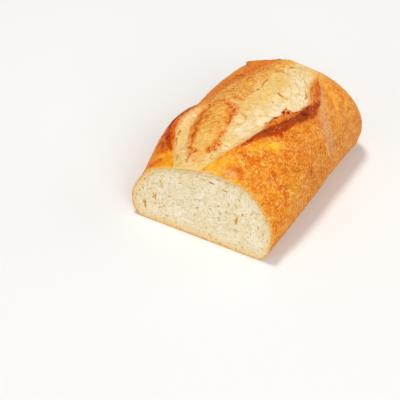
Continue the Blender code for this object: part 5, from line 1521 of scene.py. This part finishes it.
def crumb_material():
    m = Nodes("crumb")
    mid = m.noise(95, 4, 0.6)
    small = m.noise(520, 4, 0.65)
    tiny = m.noise(1500, 3, 0.6)
    web = m.noise(330, 3, 0.6, distort=0.7)
    c = m.ramp(mid, [(0.34, srgb(240, 222, 180)), (0.52, srgb(245, 230, 196)), (0.68, srgb(249, 239, 214))])
    c = m.mix(m.mul(m.range(web, 0.50, 0.60), 0.50), c, srgb(234, 212, 164))
    c = m.mix(m.mul(m.range(web, 0.48, 0.38), 0.50), c, srgb(253, 245, 226))
    c = m.mix(m.mul(m.range(small, 0.52, 0.64), 0.42), c, srgb(222, 196, 142))
    c = m.mix(m.mul(m.range(small, 0.47, 0.38), 0.30), c, srgb(252, 244, 224))
    c = m.mix(m.mul(m.range(tiny, 0.54, 0.68), 0.30), c, srgb(216, 190, 138))
    vor = m.voronoi(520)
    cell = m.split(vor.outputs["Color"])
    pit = m.mul(m.range(vor.outputs["Distance"], 0.34, 0.16), m.range(cell[0], 0.62, 0.74))
    # small pits painted darker: painted shade in the hollows
    c = m.mix(m.mul(pit, 0.55), c, srgb(206, 174, 112))
    c = m.mix(m.mul(m.math("SUBTRACT", 1.0, m.range(m.attr("edged"), 0.0, 0.45)), 0.35), c, srgb(244, 220, 166))
    # gaps between the layers painted darker: painted shade
    c = m.mix(m.mul(m.attr("layers"), 0.80), c, srgb(206, 168, 106))
    c = m.mix(m.mul(m.attr("toprim"), m.range(web, 0.44, 0.56, 0.35, 0.75)), c, srgb(226, 200, 156))
    c = m.mix(m.mul(m.attr("siderim"), m.range(web, 0.60, 0.42, 0.45, 0.85)), c, srgb(240, 206, 142))
    c = m.mix(m.mul(m.attr("rimnear"), 0.60), c, srgb(246, 212, 150))
    # pores painted darker golden toward their middle: painted shade in the hollows
    p = m.attr("pore")
    c = m.mix(m.range(p, 0.12, 0.70, 0.0, 0.88), c, srgb(226, 188, 104))
    c = m.mix(m.range(p, 0.52, 0.95, 0.0, 0.90), c, srgb(206, 154, 58))
    c = m.mix(m.range(p, 0.98, 1.20, 0.0, 0.85), c, srgb(160, 112, 44))
    m.nt.links.new(c, m.bsdf.inputs["Base Color"])
    m.bsdf.inputs["Roughness"].default_value = 0.86
    m.bsdf.inputs["Specular IOR Level"].default_value = 0.22
    h = m.math("ADD", m.math("MULTIPLY", small, 0.6), m.math("MULTIPLY", tiny, 0.4))
    h = m.math("SUBTRACT", h, m.math("MULTIPLY", pit, 0.5))
    m.nt.links.new(m.bump(h, 0.45, 0.0008), m.bsdf.inputs["Normal"])
    return m.mat


crust.data.materials.append(crust_material())
crumb.data.materials.append(crumb_material())
for piece, slot in ((crust, "crust"), (crumb, "crumb")):
    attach(piece, "root")
    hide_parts("loaf")

# ==================================================================== stage
floor_me = bpy.data.meshes.new("floor")
F = 3.0
floor_me.from_pydata([(-F, -F, 0), (F, -F, 0), (F, F, 0), (-F, F, 0)], [], [(0, 1, 2, 3)])
floor = bpy.data.objects.new("floor", floor_me)
bpy.context.scene.collection.objects.link(floor)
fm = bpy.data.materials.new("floor")
fm.use_nodes = True
fb = fm.node_tree.nodes["Principled BSDF"]
fb.inputs["Base Color"].default_value = (0.90, 0.895, 0.88, 1)
fb.inputs["Roughness"].default_value = 0.9
fb.inputs["Specular IOR Level"].default_value = 0.1
floor_me.materials.append(fm)
floor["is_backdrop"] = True

world = bpy.data.worlds.new("studio")
bpy.context.scene.world = world
world.use_nodes = True
world.node_tree.nodes["Background"].inputs["Color"].default_value = (1.0, 1.0, 1.0, 1)
world.node_tree.nodes["Background"].inputs["Strength"].default_value = 0.30


def area(name, loc, target, size, power, colour=(1, 1, 1)):
    li = bpy.data.lights.new(name, "AREA")
    li.shape = "DISK"
    li.size = size
    li.energy = power
    li.color = colour
    ob = bpy.data.objects.new(name, li)
    ob.location = loc
    ob.rotation_euler = (Vector(target) - Vector(loc)).to_track_quat("-Z", "Y").to_euler()
    bpy.context.scene.collection.objects.link(ob)
    return ob


area("key", (-0.42, 0.26, 1.58), (0, 0, 0.03), 0.40, 13.4, (1.0, 0.985, 0.96))
area("fill", (1.15, -1.05, 0.95), (0, 0, 0.03), 1.3, 14.8)
area("rim", (1.10, 1.25, 0.80), (0, 0, 0.03), 1.2, 4.6)
area("front", (-0.35, -1.55, 0.75), (0, 0, 0.03), 1.3, 4.0)

cam = bpy.data.cameras.new("camera")
cam.sensor_width = 36.0
cam.lens = 94.5
cam.clip_start = 0.01
cam_ob = bpy.data.objects.new("camera", cam)
cam_ob.location = Vector((0.29393, -0.50534, 0.50904)) - Vector(SHIFT.tolist())
cam_ob.rotation_euler = Vector((-0.38997581, 0.67221627, -0.62932039)).to_track_quat("-Z", "Y").to_euler()
bpy.context.scene.collection.objects.link(cam_ob)
bpy.context.scene.camera = cam_ob

bpy.context.scene.view_settings.view_transform = "Standard"
bpy.context.scene.view_settings.look = "None"
bpy.context.scene.view_settings.exposure = 0.0
bpy.context.scene.view_settings.gamma = 1.0

low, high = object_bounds()
